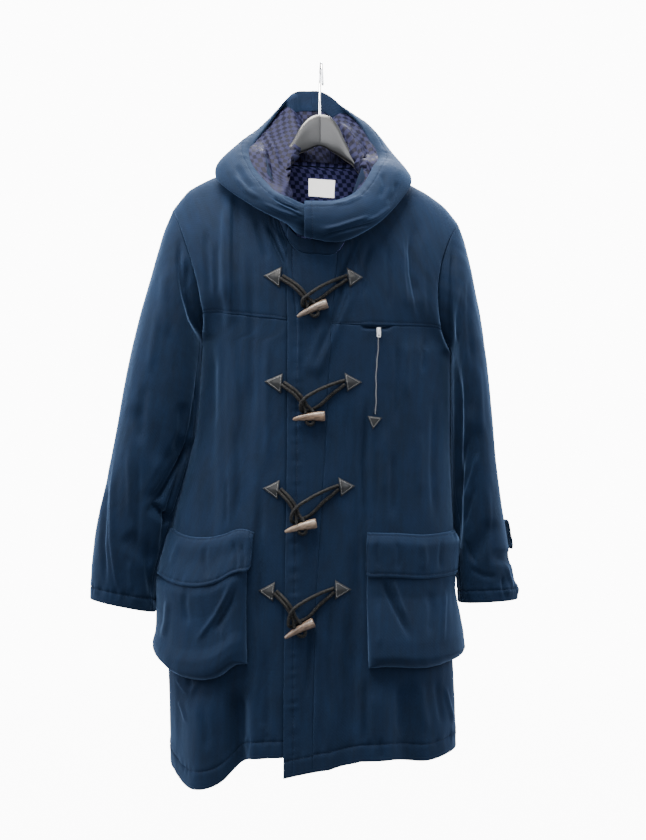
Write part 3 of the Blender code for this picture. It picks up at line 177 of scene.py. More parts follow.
# A section of the body for each height: edges as the viewer sees them, and depths.
# height, left, right, front, back
BODY = (
    (-1140, -249, 222, 128, 122),
    (-1050, -250, 219, 127, 121),
    (-950, -254, 214, 124, 119),
    (-850, -254, 214, 121, 117),
    (-760, -248, 216, 118, 116),
    (-690, -233, 213, 116, 115),
    (-620, -213, 211, 114, 114),
    (-554, -202, 212, 113, 113),
    (-465, -197, 212, 112, 112),
)
# The armhole seam, from the armpit at 0 to the shoulder at 1: share, left, right
ARMHOLE = (
    (0.0, -197, 212),
    (0.1, -193, 200),
    (0.3, -197, 190),
    (0.6, -212, 191),
    (0.85, -231, 207),
    (1.0, -244, 225),
)
# The shoulder line over the hanger, carried on across the neck hole: across, height
SHOULDER = (
    (-244, -240),
    (-220, -211),
    (-191, -194),
    (-150, -176),
    (-92, -152),
    (-10, -134),
    (80, -166),
    (140, -196),
    (182, -220),
    (204, -238),
    (225, -264),
)
# The hem: across as a share of the half width, front height, back height
HEM = (
    (-1.0, -1146, -1146),
    (-0.9, -1170, -1148),
    (-0.76, -1178, -1144),
    (-0.6, -1161, -1138),
    (-0.5, -1134, -1140),
    (-0.35, -1126, -1146),
    (-0.2, -1124, -1148),
    (0.1, -1124, -1143),
    (0.3, -1130, -1136),
    (0.55, -1129, -1134),
    (0.8, -1133, -1138),
    (1.0, -1122, -1122),
)
# Large folds: across, height, across, height, half width, and depth (outwards is +)
FRONT_FOLDS = (
    (-132, -1000, -131, -1215, 24, -20),
    (-188, -1000, -190, -1260, 46, 13),
    (-148, -205, -146, -480, 17, 5),
    (-182, -420, -178, -800, 22, -5),
    (-120, -500, -128, -780, 24, -4),
    (16, -425, -18, -520, 22, 5),
    (63, -560, 62, -930, 26, -6),
    (149, -255, 150, -400, 22, -5),
    (-36, -700, -42, -1060, 26, 4),
    (128, -985, 142, -1190, 30, -9),
    (46, -860, 36, -1190, 28, -7),
    (92, -1000, 96, -1190, 22, 5),
)
BACK_FOLDS = (
    (-92, -400, -104, -1010, 34, -7),
    (58, -360, 66, -930, 30, -6),
    (150, -500, 140, -1150, 32, -9),
    (-172, -540, -168, -1190, 30, -9),
    (-14, -640, -6, -1220, 40, 7),
    (96, -820, 100, -1190, 26, 6),
)
# Creases, drawn downwards or to the right in the front view: the points that each
# follows, its half widths to the left and to the right, its depth, and how sharp it is,
# where it isn't as soft as most
SOFT = 1.2
FRONT_CREASES = (
    (((60, -437), (74, -439), (88, -439), (103, -439), (117, -437)), 3, 3, -7.8),
    (((-143, -211), (-143, -284), (-143, -364), (-142, -426)), 5, 24, -4.9, 1.6),
    (((-155, -221), (-157, -316), (-155, -415)), 12, 8, 3.2),
    (((-142, -428), (-139, -476), (-136, -555), (-133, -635)), 16, 8, 1.7),
    (((-160, -436), (-160, -555), (-157, -667), (-155, -765)), 12, 12, -2.0),
    (((-136, -587), (-133, -667), (-133, -746)), 10, 10, -2.3),
    (((-153, -679), (-152, -762)), 5, 5, -2.7, 1.8),
    (((-173, -476), (-174, -603)), 12, 10, -2.3),
    (((-187, -276), (-184, -332), (-179, -396)), 10, 10, -3.2),
    (((-169, -300), (-168, -396)), 8, 8, -2.3),
    (((-114, -300), (-111, -396), (-112, -523), (-107, -619)), 12, 14, -2.8),
    (((-85, -444), (-88, -555), (-85, -667)), 12, 10, 2.5),
    (((-95, -683), (-101, -810), (-95, -937)), 12, 12, -3.0),
    (((-88, -270), (-77, -297), (-55, -345)), 6, 9, -4.3, 1.8),
    (((-107, -261), (-95, -300), (-85, -335)), 10, 10, -2.8),
    (((-72, -284), (-63, -308), (-53, -327)), 5, 6, 2.7),
    (((61, -286), (49, -313), (38, -345), (31, -390), (17, -431), (-2, -476), (-21, -520)),
     14, 7, -4.3, 1.4),
    (((71, -297), (55, -342), (45, -396), (26, -439), (7, -482), (-15, -533)), 6, 12, 3.0, 1.3),
    (((81, -300), (71, -335), (65, -396)), 9, 9, -2.8),
    (((-36, -335), (-36, -428), (-39, -555)), 6, 7, 1.9),
    (((65, -523), (61, -612), (58, -660), (61, -721), (65, -786), (67, -874), (68, -961)),
     7, 5, 3.0, 1.4),
    (((72, -542), (68, -612), (65, -660), (68, -721), (73, -778)), 4, 14, -3.9, 1.3),
    (((42, -555), (38, -635), (41, -746)), 12, 14, -3.0),
    (((85, -587), (88, -667), (87, -754)), 8, 8, -2.4),
    (((103, -595), (101, -714)), 12, 12, 2.3),
    (((120, -452), (122, -523), (117, -603)), 10, 10, -2.9),
    (((116, -635), (114, -749)), 12, 10, -3.0),
    (((138, -460), (136, -555)), 9, 9, 2.3),
    (((168, -452), (163, -514)), 8, 8, -2.7, 1.4),
    (((159, -603), (157, -714)), 12, 12, 2.0),
    (((182, -542), (179, -667), (184, -759)), 10, 10, -3.5),
    (((143, -278), (143, -316), (144, -351), (151, -391), (155, -425)), 7, 13, -4.7, 1.6),
    (((130, -288), (131, -348), (138, -412)), 7, 6, 2.5),
    (((106, -300), (109, -356), (108, -415)), 9, 9, -2.8),
    (((165, -300), (170, -364), (173, -425)), 8, 8, -2.3),
    (((-236, -1001), (-224, -1017), (-212, -1028)), 6, 5, 3.2, 1.7),
    (((-190, -995), (-201, -1012), (-211, -1030)), 5, 6, 3.2, 1.7),
    (((-214, -988), (-212, -1020)), 8, 8, -4.7, 1.3),
    (((-232, -1039), (-224, -1054), (-217, -1074)), 5, 7, 2.9, 1.6),
    (((-193, -1033), (-184, -1081), (-181, -1116)), 12, 12, -2.3),
    (((-119, -867), (-117, -937), (-119, -1023)), 6, 7, -2.9, 1.3),
    (((-104, -890), (-101, -969), (-104, -1052)), 8, 8, 2.7),
    (((-88, -937), (-85, -1033), (-88, -1103)), 10, 9, -3.1),
    (((-96, -1068), (-85, -1089)), 5, 5, 2.4, 1.4),
    (((-20, -906), (-21, -982), (-25, -1033)), 8, 8, -3.2),
    (((-5, -874), (-7, -1001), (-5, -1097)), 9, 9, 2.5),
    (((14, -874), (10, -969), (17, -1065)), 9, 10, -3.2),
    (((36, -858), (31, -969), (34, -1074)), 10, 10, 2.4),
    (((52, -937), (51, -1017), (53, -1089)), 9, 8, -2.5),
    (((70, -995), (69, -1049), (71, -1103)), 8, 7, -3.7, 1.3),
    (((81, -1017), (82, -1065), (84, -1105)), 6, 8, 2.7),
    (((93, -1090), (95, -1109), (96, -1128)), 5, 6, -3.7, 1.6),
    (((122, -1001), (125, -1049), (124, -1093)), 12, 12, -2.8),
    (((157, -1001), (162, -1052), (170, -1090)), 12, 12, 2.7),
    (((184, -1001), (189, -1042), (195, -1081)), 9, 9, -2.8),
    (((198, -1014), (206, -1046), (216, -1084)), 5, 6, 3.5, 1.6),
)
BACK_CREASES = (
    (((-122, -230), (-118, -383), (-128, -553), (-122, -723)), 14, 14, -4.3),
    (((-37, -281), (-43, -451), (-37, -655)), 12, 14, 3.2),
    (((40, -264), (48, -434), (42, -672), (52, -825)), 14, 12, -4.5, 1.3),
    (((120, -274), (127, -417), (120, -587)), 12, 12, -3.7),
    (((167, -383), (174, -519), (167, -672)), 12, 10, 3.2),
    (((-179, -298), (-183, -434), (-174, -587)), 10, 12, 3.2),
    (((-156, -689), (-162, -859), (-154, -1063)), 16, 12, -4.7, 1.3),
    (((-91, -757), (-101, -927), (-91, -1131)), 14, 14, 3.9),
    (((-16, -723), (-9, -910), (-20, -1145)), 14, 12, -4.1),
    (((52, -893), (45, -1029), (54, -1140)), 10, 12, 3.2),
    (((110, -689), (116, -876), (110, -1114)), 14, 14, -4.5, 1.3),
    (((174, -791), (167, -961), (178, -1114)), 12, 12, 3.5),
    (((-67, -206), (-54, -250), (-37, -298)), 8, 8, -3.7, 1.6),
    (((52, -206), (38, -254), (25, -298)), 8, 8, -3.5, 1.6),
    (((-198, -434), (-169, -458), (-128, -468)), 8, 10, -3.7, 1.4),
    (((212, -448), (184, -471), (147, -485)), 8, 10, -3.7, 1.4),
    (((-139, -604), (-101, -614), (-54, -611)), 10, 10, -3.0, 1.3),
    (((86, -614), (133, -624), (184, -614)), 10, 10, -3.0, 1.3),
)
MM = 0.001
HEM_Z, ARMPIT_Z = -1140.0, -465.0
SHOULDER_MIDDLE, SHOULDER_HALF = -9.5, 234.5
ARMHOLE_HALF = 66.0
# How square a level section of the body is: 2 is an ellipse
SQUARENESS = 2.5
# Shares of the half width at which the neck hole ends and at which the pockets sit
NECK_SHARE = 0.37
POCKET_SHARE = 0.417
# A panel's rows: from the hem to the armpit's row, to the yoke seam's and to the top's
ARMPIT_ROW, YOKE_ROW, TOP_ROW = 15, 17, 23
ROW_T = (
    0.0, 0.04, 0.10, 0.165, 0.232, 0.29, 0.35, 0.41, 0.475, 0.54, 0.61, 0.69, 0.77, 0.85, 0.93, 1.0
)
YOKE_STEPS = (0.0, 0.2, 0.4, 0.6, 0.8, 0.93, 1.0)
SIDE_ANGLES = np.radians((0, 7, 15, 24, 34, 45, 54, 61.5))
# The storm placket's free edge and its seam to the right front: height, edge, seam
PLACKET = (
    (-1160, -61, -15),
    (-1000, -60, -12),
    (-850, -58, -8),
    (-650, -55, 5),
    (-430, -54, 16),
    (-300, -52, 28),
)
# The placket's own heights: its hem and its top at the neck
PLACKET_HEM_Z, PLACKET_TOP_Z = -1124.0, -140.0
# The lapping side hangs lower at its free edge: across, drop
LAP_DROP = ((-61, 33), (12, 19), (36, 9), (62, 0))
# Thickness of the wadded cloth, and the air between the left front and the lap over it
CLOTH, LAP = 2.4, 1.2


def smooth(keys, values, at):
    """The values between a table's rows, on one smooth curve."""
    keys = np.asarray(keys, float)
    values = np.asarray(values, float)
    slopes = np.gradient(values, keys, axis=0)
    at = np.clip(np.asarray(at, float), keys[0], keys[-1])
    low = np.clip(np.searchsorted(keys, at, side="right") - 1, 0, len(keys) - 2)
    step = keys[low + 1] - keys[low]
    u = (at - keys[low]) / step
    if values.ndim > 1:
        u = u[..., None]
        step = step[..., None]
    return (
        (2 * u**3 - 3 * u**2 + 1) * values[low]
        + (u**3 - 2 * u**2 + u) * step * slopes[low]
        + (3 * u**2 - 2 * u**3) * values[low + 1]
        + (u**3 - u**2) * step * slopes[low + 1]
    )


def column(table, index):
    """One column of a table."""
    return [row[index] for row in table]


def curve(table, index, at):
    """A table's column at places between the rows of its first column, on a smooth curve."""
    return smooth(column(table, 0), column(table, index), at)


def straight(table, index, at):
    """The same on straight lines."""
    return np.interp(at, column(table, 0), column(table, index))


def between(keys, points, at):
    """The places on a line of points, given how far along it each point is."""
    return np.stack([np.interp(at, keys, points[:, k]) for k in range(3)], axis=1)


def together(first, second):
    """Two sets of numbers, repeated until both have the same shape."""
    return np.broadcast_arrays(np.asarray(first, float), np.asarray(second, float))


def ease(x):
    """A soft step from 0 to 1."""
    x = np.clip(x, 0.0, 1.0)
    return x * x * (3.0 - 2.0 * x)


def bell(x):
    """1 at 0, and softly down to 0 at 1 either way."""
    return 0.5 + 0.5 * np.cos(np.pi * np.clip(x, -1.0, 1.0))


def hump(x):
    """1 at 0, and fading out with long tails either way."""
    return np.exp(-(x**2))


def unit(vectors):
    """The same directions, each one long."""
    return vectors / np.maximum(np.linalg.norm(vectors, axis=-1, keepdims=True), 1e-9)


def fold_height(folds, x, z):
    """How far the large folds move a point out of the plain surface."""
    out = np.zeros(np.broadcast(x, z).shape)
    for x0, z0, x1, z1, half, depth in folds:
        length = math.hypot(x1 - x0, z1 - z0)
        along = ((x - x0) * (x1 - x0) + (z - z0) * (z1 - z0)) / length**2
        off = ((x - x0) * (z1 - z0) - (z - z0) * (x1 - x0)) / length
        ends = ease(along / 0.22) * ease((1.0 - along) / 0.22)
        out = out + depth * bell(off / half) * ends
    return out


def crease_height(creases, x, z):
    """How far the creases move a point of the cloth along its normal."""
    out = np.zeros(x.shape)
    for path, left, right, depth, *sharp in creases:
        path = np.array(path, float)
        reach = max(left, right)
        low, high = path.min(axis=0) - reach, path.max(axis=0) + reach
        held = (x > low[0]) & (x < high[0]) & (z > low[1]) & (z < high[1])
        if not held.any():
            continue
        px, pz = x[held], z[held]
        steps = np.linalg.norm(np.diff(path, axis=0), axis=1)
        nearest, side, share = np.full(px.shape, 1e9), np.zeros(px.shape), np.zeros(px.shape)
        start = 0.0
        for (x0, z0), (x1, z1), length in zip(path, path[1:], steps):
            part = np.clip(((px - x0) * (x1 - x0) + (pz - z0) * (z1 - z0)) / length**2, 0, 1)
            away = np.hypot(px - x0 - (x1 - x0) * part, pz - z0 - (z1 - z0) * part)
            closer = away < nearest
            nearest = np.where(closer, away, nearest)
            side = np.where(closer, (px - x0) * (z1 - z0) - (pz - z0) * (x1 - x0), side)
            share = np.where(closer, (start + part * length) / steps.sum(), share)
            start += length
        form = bell(nearest / np.where(side < 0, right, left)) ** (sharp[0] if sharp else SOFT)
        out[held] += depth * form * ease(share / 0.25) * ease((1.0 - share) / 0.25)
    return out


def squircle(angle, power=SQUARENESS):
    """How far a rounded square reaches at an angle, as a share of its half width."""
    return (np.abs(np.cos(angle)) ** power + np.abs(np.sin(angle)) ** power) ** (-1.0 / power)


ANGLES = np.linspace(0.0, math.pi, 2881)
SHARES = -squircle(ANGLES) * np.cos(ANGLES)


def angle_at(share):
    """The angle round the section at a share of its half width, -1 left and 1 right."""
    return np.interp(share, SHARES, ANGLES)


def half_section(t):
    """Middle and half width at t: 0 is the hem, 1 the armpit, 2 the shoulder."""
    height = HEM_Z + np.minimum(t, 1.0) * (ARMPIT_Z - HEM_Z)
    up = np.clip(t - 1.0, 0.0, 1.0)
    left = np.where(t > 1.0, curve(ARMHOLE, 1, up), curve(BODY, 1, height))
    right = np.where(t > 1.0, curve(ARMHOLE, 2, up), curve(BODY, 2, height))
    return (left + right) / 2, (right - left) / 2


def share_at(x, t):
    """How far a place across is from the middle, as a share of the half width."""
    middle, half = half_section(t)
    return (x - middle) / half


def plain_body(side, angle, t):
    """The body's surface without its folds; side is -1 for the front, 1 for the back."""
    angle, t = together(angle, t)
    reach = squircle(angle)
    share = -reach * np.cos(angle)
    deep = reach * np.sin(angle)
    middle, half = half_section(t)
    up = np.clip(t - 1.0, 0.0, 1.0)
    height = HEM_Z + np.minimum(t, 1.0) * (ARMPIT_Z - HEM_Z)
    depth = curve(BODY, 3 if side < 0 else 4, height) * (1.0 - up**2.2) ** 0.62
    arm = 2.0 * ARMHOLE_HALF * np.sqrt(up * (1.0 - up))
    arm = arm * (1.0 - ease((deep - 0.25) / 0.5) * (1.0 - ease(up / 0.35)))
    hem = curve(HEM, 1 if side < 0 else 2, share)
    armpit = ARMPIT_Z - 13.0 * share
    ridge = curve(SHOULDER, 1, SHOULDER_MIDDLE + SHOULDER_HALF * share)
    z = np.where(t < 1.0, hem + t * (armpit - hem), armpit + up * (ridge - armpit))
    y = side * (arm + (depth - arm) * deep)
    return np.stack([middle + half * share, y, z], axis=-1)


def facing(points_at, a, b, step, b_top):
    """Unit normals of a surface from its own small steps."""
    high = np.minimum(b + step, b_top)
    across = points_at(a + step, b) - points_at(a - step, b)
    return unit(np.cross(across, points_at(a, high) - points_at(a, high - 2 * step)))


def body(side, angle, t):
    """The outer surface of the coat's body with its large folds."""

    def plain(a, b):
        return plain_body(side, a, b)

    points = plain(angle, t)
    angle, t = together(angle, t)
    out = facing(plain, angle, t, 2e-3, 1.9995) * -side
    folds = FRONT_FOLDS if side < 0 else BACK_FOLDS
    return points + out * fold_height(folds, points[..., 0], points[..., 2])[..., None]


def placket_share(t, index):
    """The share of the half width at which the placket's free edge, 1, or seam, 2, lies."""
    low = PLACKET_HEM_Z + t * (ARMPIT_Z - PLACKET_HEM_Z)
    high = ARMPIT_Z + (t - 1.0) * (PLACKET_TOP_Z - ARMPIT_Z)
    return share_at(straight(PLACKET, index, np.where(t < 1.0, low, high)), t)


def yoke_t(share):
    """The yoke seam dips towards the middle."""
    return 1.10 + 0.08 * share**2


def front_top(share):
    """The front's upper edge: the neckline in the middle, the shoulder at the sides."""
    return 1.433 + 0.567 * np.clip(np.abs(share) / NECK_SHARE, 0.0, 1.0) ** 4


def back_top(share):
    """The back's upper edge, which is cut less low."""
    return 1.91 + 0.09 * np.clip(np.abs(share) / NECK_SHARE, 0.0, 1.0) ** 2


def left_columns(t):
    """Shares of the left front's columns in one row, from the side seam to under the lap."""
    free, seam = placket_share(t, 1), placket_share(t, 2)
    sides = -squircle(SIDE_ANGLES) * np.cos(SIDE_ANGLES)
    middle = -NECK_SHARE + (free + NECK_SHARE) * np.array((0.0, 0.33, 0.66))
    lapped = free + (seam - free) * np.array((0.0, 0.25, 0.5, 0.75, 0.95))
    return np.concatenate([sides, [-POCKET_SHARE], middle, lapped])


def placket_columns(t):
    free, seam = placket_share(t, 1), placket_share(t, 2)
    return free + (seam - free) * np.array((0.0, 0.25, 0.5, 0.75, 1.0))


def right_columns(t):
    seam = placket_share(t, 2)
    sides = squircle(SIDE_ANGLES) * np.cos(SIDE_ANGLES)
    middle = seam + (NECK_SHARE - seam) * np.array((0.0, 0.33, 0.66, 1.0))
    return np.concatenate([middle, [POCKET_SHARE], sides[::-1]])


def back_columns(t):
    sides = squircle(SIDE_ANGLES) * np.cos(SIDE_ANGLES)
    outer = np.concatenate([-sides, [-POCKET_SHARE]])
    return np.concatenate([outer, np.linspace(-NECK_SHARE, NECK_SHARE, 9), -outer[::-1]])


EDGE_YOKE = float(yoke_t(1.0)) - 1.0
ARM_STEPS = (0.0, 0.35 * EDGE_YOKE, EDGE_YOKE) + tuple(
    EDGE_YOKE + (1.0 - EDGE_YOKE) * step for step in YOKE_STEPS[1:]
)


def low_t(row):
    """t of a row below the armpit."""
    return np.interp(row, range(16), ROW_T)


def front_height(row, share):
    """t of a front panel's row."""
    if row <= ARMPIT_ROW:
        return low_t(row) + 0.0 * share
    if row <= YOKE_ROW:
        return 1.0 + (yoke_t(share) - 1.0) * np.interp(row - ARMPIT_ROW, range(3), (0.0, 0.35, 1.0))
    step = np.interp(row - YOKE_ROW, range(7), YOKE_STEPS)
    return yoke_t(share) + (front_top(share) - yoke_t(share)) * step


def back_height(row, share):
    """t of the back panel's row."""
    if row <= ARMPIT_ROW:
        return low_t(row) + 0.0 * share
    return 1.0 + (back_top(share) - 1.0) * np.interp(row - ARMPIT_ROW, range(9), ARM_STEPS)


def panel(side, columns, height, drop=0.0):
    """The surface of a panel: a function of one row and many columns."""

    def at(row, cols):
        shares = columns(height(row, 0.0))
        share = np.interp(cols, range(len(shares)), shares)
        t = height(row, share)
        points = body(side, angle_at(share), t)
        lower = drop * straight(LAP_DROP, 1, points[..., 0])
        points[..., 2] -= lower * np.clip(1.0 - t, 0.0, 1.0) ** 2
        return points

    return at


def run(points):
    """How far along its line each point is."""
    return np.concatenate([[0.0], np.cumsum(np.linalg.norm(np.diff(points, axis=0), axis=1))])


# How far from a sewn or a free edge its first lines of points lie
SEWN = (0.0, 0.8, 1.8, 3.4)
FREE = (0.0, 0.5, 1.4, 3.0)


def near(edge, *stitched, pitch=4.0):
    """Distances from an edge at which a panel has lines, closer at its stitched lines."""
    marks = list(edge)
    for line in stitched:
        marks += list(np.arange(marks[-1] + pitch, line - 2.0 - pitch / 2, pitch))
        marks += [line - 2.0, line - 0.9, line, line + 0.9, line + 2.0]
    return [mark for k, mark in enumerate(marks) if k == 0 or mark > marks[k - 1]]


def spaced(length, count, start, end):
    """Places along a length: those of its two edges, and evenly spaced ones between."""
    last = length - np.array(end)[::-1]
    return np.concatenate([start, np.linspace(start[-1], last[0], count + 2)[1:-1], last])


def cut(surface, rows, cols, pitch=3.9, bottom=SEWN, top=SEWN, first=SEWN, last=SEWN):
    """A piece of cloth on a surface: its points, and how far each is from each edge."""
    pitch = pitch * 1.0
    line = np.linspace(*rows, 90)
    middle = np.array([(cols[0] + cols[1]) / 2])
    along = run(np.array([surface(row, middle)[0] for row in line]))
    count = max(int((along[-1] - bottom[-1] - top[-1]) / pitch), 1)
    ups = spaced(along[-1], count, bottom, top)
    dense = np.linspace(*cols, 110)
    places = np.interp(ups, along, line)
    runs = [run(surface(row, dense)) for row in places]
    count = max(int((max(r[-1] for r in runs) - first[-1] - last[-1]) / pitch), 1)
    across = np.array([spaced(r[-1], count, first, last) for r in runs])
    points = [surface(row, np.interp(s, r, dense)) for row, s, r in zip(places, across, runs)]
    up = ups[:, None] + 0 * across
    return {
        "points": np.array(points),
        "first": across,
        "last": across[:, -1:] - across,
        "bottom": up,
        "top": ups[-1] - up,
    }


def normals_of(points, sign):
    """Unit normals of a grid of points; sign turns them to the cloth's right side."""
    across = np.gradient(points, axis=1)
    return unit(np.cross(across, np.gradient(points, axis=0))) * sign


def ripple(along, step, seed):
    """Uneven waves along a line, from -1 to 1."""
    knots = np.random.default_rng(seed).uniform(-1, 1, 997)
    place = np.asarray(along) / step + 5
    low = np.floor(place).astype(int)
    u = ease(place - low)
    return knots[low % 997] * (1 - u) + knots[(low + 1) % 997] * u


def unrest(u, v, step_u, step_v, seed):
    """Uneven waves over a surface, from -1 to 1."""
    knots = np.random.default_rng(seed).uniform(-1, 1, (211, 211))
    a, b = u / step_u + 3, v / step_v + 3
    i, j = np.floor(a).astype(int), np.floor(b).astype(int)
    p, q = ease(a - i), ease(b - j)
    low = knots[i % 211, j % 211] * (1 - p) + knots[(i + 1) % 211, j % 211] * p
    high = knots[i % 211, (j + 1) % 211] * (1 - p) + knots[(i + 1) % 211, (j + 1) % 211] * p
    return low * (1 - q) + high * q


STITCHES = []


def sew_line(piece, edge, distance):
    """Keeps a line of a piece's surface, to be sewn with thread at the end."""
    mark = piece[edge]
    if edge in ("bottom", "top"):
        k = int(np.argmin(np.abs(mark[:, 0] - distance)))
        STITCHES.append((piece["outer"][k], piece["normals"][k]))
    else:
        k = int(np.argmin(np.abs(mark[0] - distance)))
        STITCHES.append((piece["outer"][:, k], piece["normals"][:, k]))


def under_next(outer, inner, base, edge):
    """Carries a sewn edge on by its seam allowance, under the neighbour's edge."""
    at = {"bottom": (0, 1), "top": (-1, -2), "first": (0, 1), "last": (-1, -2)}[edge]
    for grid in (outer, inner):
        lines, out = grid, base
        if edge in ("first", "last"):
            lines, out = grid.swapaxes(0, 1), base.swapaxes(0, 1)
        lines[at[0]] += unit(lines[at[0]] - lines[at[1]]) * 1.1 - out[at[0]] * 0.7


def shell(
    name, piece, sign, made_of, thick=CLOTH, sewn=(), lift=0.0, relief=0.0, stitched=(), inside=None
):
    """A thin closed wall of cloth. Sewn edges turn in, free ones are rounded.

    stitched holds the sewn lines: edge, distance from it, and how much the cloth puckers.
    """
    base = normals_of(piece["points"], sign)
    turned = np.zeros(piece["first"].shape)
    eased = np.zeros(piece["first"].shape)
    for edge in ("bottom", "top", "first", "last"):
        close = np.clip(1.0 - piece[edge] / 2.6, 0.0, 1.0) ** 2
        turned = np.maximum(turned, close * (1.0 if edge in sewn else 0.42 * thick))
        if edge not in sewn:
            eased = np.maximum(eased, close * 0.36 * thick)
    height = lift + relief - turned
    for k, (edge, distance, pucker) in enumerate(stitched):
        along = piece["first" if edge in ("bottom", "top") else "bottom"]
        off = piece[edge] - distance
        height = height - (0.45 + 0.5 * pucker) * hump(off / 1.6)
        wave = ripple(along, 6.5, 31 + k + len(name)) + 0.6 * ripple(along, 3.7, 77 + k)
        wave = pucker * wave * hump(off / 8.0)
        height = height + wave * ease(piece[edge] / 3.0 + 0.45)
    outer = piece["points"] + base * height[..., None]
    inner = outer + base * (turned + eased * 0.4 - thick)[..., None]
    for edge in sewn:
        under_next(outer, inner, base, edge)
    piece["outer"], piece["inner"] = outer, inner
    piece["normals"] = normals_of(outer, sign)
    made = wall(name, piece, sign, made_of, inside)
    for edge, distance, _ in stitched:
        sew_line(piece, edge, distance)
    return made


def wall(name, piece, sign, made_of, inside=None):
    """Two grids of points closed at their edges, with the cloth's own lengths as its map."""
    rows, cols = piece["outer"].shape[:2]
    count = rows * cols
    i, j = np.meshgrid(np.arange(rows - 1), np.arange(cols - 1), indexing="ij")
    a = (i * cols + j).ravel()
    front = np.stack([a, a + 1, a + cols + 1, a + cols], axis=1)
    along, up = np.arange(cols - 1), np.arange(rows - 1) * cols
    back = along[::-1] + (rows - 1) * cols
    far = up + cols - 1
    rim = []
    for first, second in ((along, along + 1), (back + 1, back), (up + cols, up), (far, far + cols)):
        rim.append(np.stack([second, first, first + count, second + count], axis=1))
    faces = np.concatenate([front, front[:, ::-1] + count, *rim])
    if sign < 0:
        faces = faces[:, ::-1]
    points = np.concatenate([piece["outer"].reshape(-1, 3), piece["inner"].reshape(-1, 3)]) * MM
    mesh = bpy.data.meshes.new(name)
    mesh.from_pydata(points.tolist(), [], faces.tolist())
    place = np.stack([piece["first"], piece["bottom"]], axis=-1).reshape(-1, 2) * MM
    place = np.concatenate([place, place])[faces.ravel()]
    mesh.uv_layers.new(name="cloth").data.foreach_set("uv", place.ravel().astype(np.float32))
    mesh.materials.append(made_of)
    if inside:
        mesh.materials.append(inside)
        index = np.zeros(len(faces), np.int32)
        index[len(front) : 2 * len(front)] = 1
        mesh.polygons.foreach_set("material_index", index)
    mesh.polygons.foreach_set("use_smooth", np.ones(len(faces), bool))
    mesh.update()
    return linked(bpy.data.objects.new(name, mesh))


def area_of(piece):
    """The cloth's area and its flat cut, width by length, in metres."""
    p = piece["points"]
    tiles = np.linalg.norm(np.cross(p[1:, 1:] - p[:-1, :-1], p[1:, :-1] - p[:-1, 1:]), axis=-1)
    length = float(np.linalg.norm(np.diff(p, axis=0), axis=-1).sum(axis=0).mean()) * MM
    area = float(tiles.sum()) / 2 * MM * MM
    return area, (max(float(piece["first"].max()) * MM, area / length), length)


FLAT = {}


def hang(made, piece, slot, held, rests_on, *nodes):
    """Keeps a piece's flat cut, hides the parts it stands for and hangs it on the coat; slot, held
    and rests_on are not used.
    """
    area, flat = area_of(piece)
    FLAT[made.name] = (round(flat[0], 3), round(flat[1], 3), round(area, 4))
    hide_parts(*nodes)
    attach(made, "coat")


# The real twill lines are 0.4 mm apart; they are drawn wider apart, so that they show.
TWILL_MM = 1.3


def cloth_place(tree, stretch=None):
    """Places in metres along a piece's own lengths; stretch draws a pattern out."""
    place = add(tree, "ShaderNodeUVMap", uv_map="cloth").outputs[0]
    if stretch is None:
        return place
    return add(tree, "ShaderNodeMapping", {"Vector": place, "Scale": stretch}).outputs[0]


def tinted(tree, shader, share, first, second):
    """Gives the surface a mix of two colours, and hands on the mix."""
    mix = add(tree, "ShaderNodeMix", {0: share, 6: first, 7: second}, data_type="RGBA").outputs[2]
    tree.links.new(mix, shader.inputs["Base Color"])
    return mix


def navy(name, light, dark, sheen):
    """Peach-skin twill: brushed fibre ends give a soft pale bloom where the cloth turns away."""
    made, tree, shader = finish(
        name, Roughness=0.78, IOR=1.5, Specular_IOR_Level=0.06, Sheen_Weight=sheen,
        Sheen_Roughness=0.42, Sheen_Tint=colour("#6f8fbd"),
    )
    place = cloth_place(tree)
    streak = noise(tree, cloth_place(tree, (1.0, 0.16, 1.0)), 95.0, 5.0, Roughness=0.66)
    cloud = noise(tree, place, 14.0, 4.0)
    tone = add(tree, "ShaderNodeMath", {0: streak, 1: cloud}, operation="ADD").outputs[0]
    tinted(tree, shader, ranged(tree, tone, 0.62, 1.38), colour(dark), colour(light))
    lines = {"Vector": place, "Scale": 1000 / TWILL_MM / 6.283, "Distortion": 0.6, "Detail": 1.0}
    twill = add(tree, "ShaderNodeTexWave", lines, bands_direction="DIAGONAL").outputs["Fac"]
    heights = {0: twill, 1: 0.3, 2: noise(tree, place, 330.0, 3.0)}
    height = add(tree, "ShaderNodeMath", heights, operation="MULTIPLY_ADD").outputs[0]
    bumped(tree, shader, height, 0.5, 0.0006)
    return made


NAVY = navy("brushed_navy_microfibre_twill", "#061427", "#040d1a", 0.31)
NAVY_INNER = navy("navy_twill_wrong_side", "#091427", "#060d19", 0.2)


def drape(piece, seed, strength=1.0):
    """The small unrest of wadded cloth that hangs: long soft streaks and slight dimples."""
    u, v = piece["first"], piece["bottom"]
    rest = 0.42 * unrest(u, v, 13.0, 120.0, seed) + 0.30 * unrest(u, v, 24.0, 34.0, seed + 1)
    return strength * (rest + 0.12 * unrest(u, v, 7.0, 11.0, seed + 2))


def creased(piece, creases):
    """How far a table's creases move each point of a piece."""
    return crease_height(creases, piece["points"][..., 0], piece["points"][..., 2])


# How far from their edges the hem, the yoke seams and the placket are stitched
HEM_STITCH, YOKE_STITCH, LAP_STITCH = 27.0, 5.0, 15.5
SIGNS = {"left": -1, "right": 1}

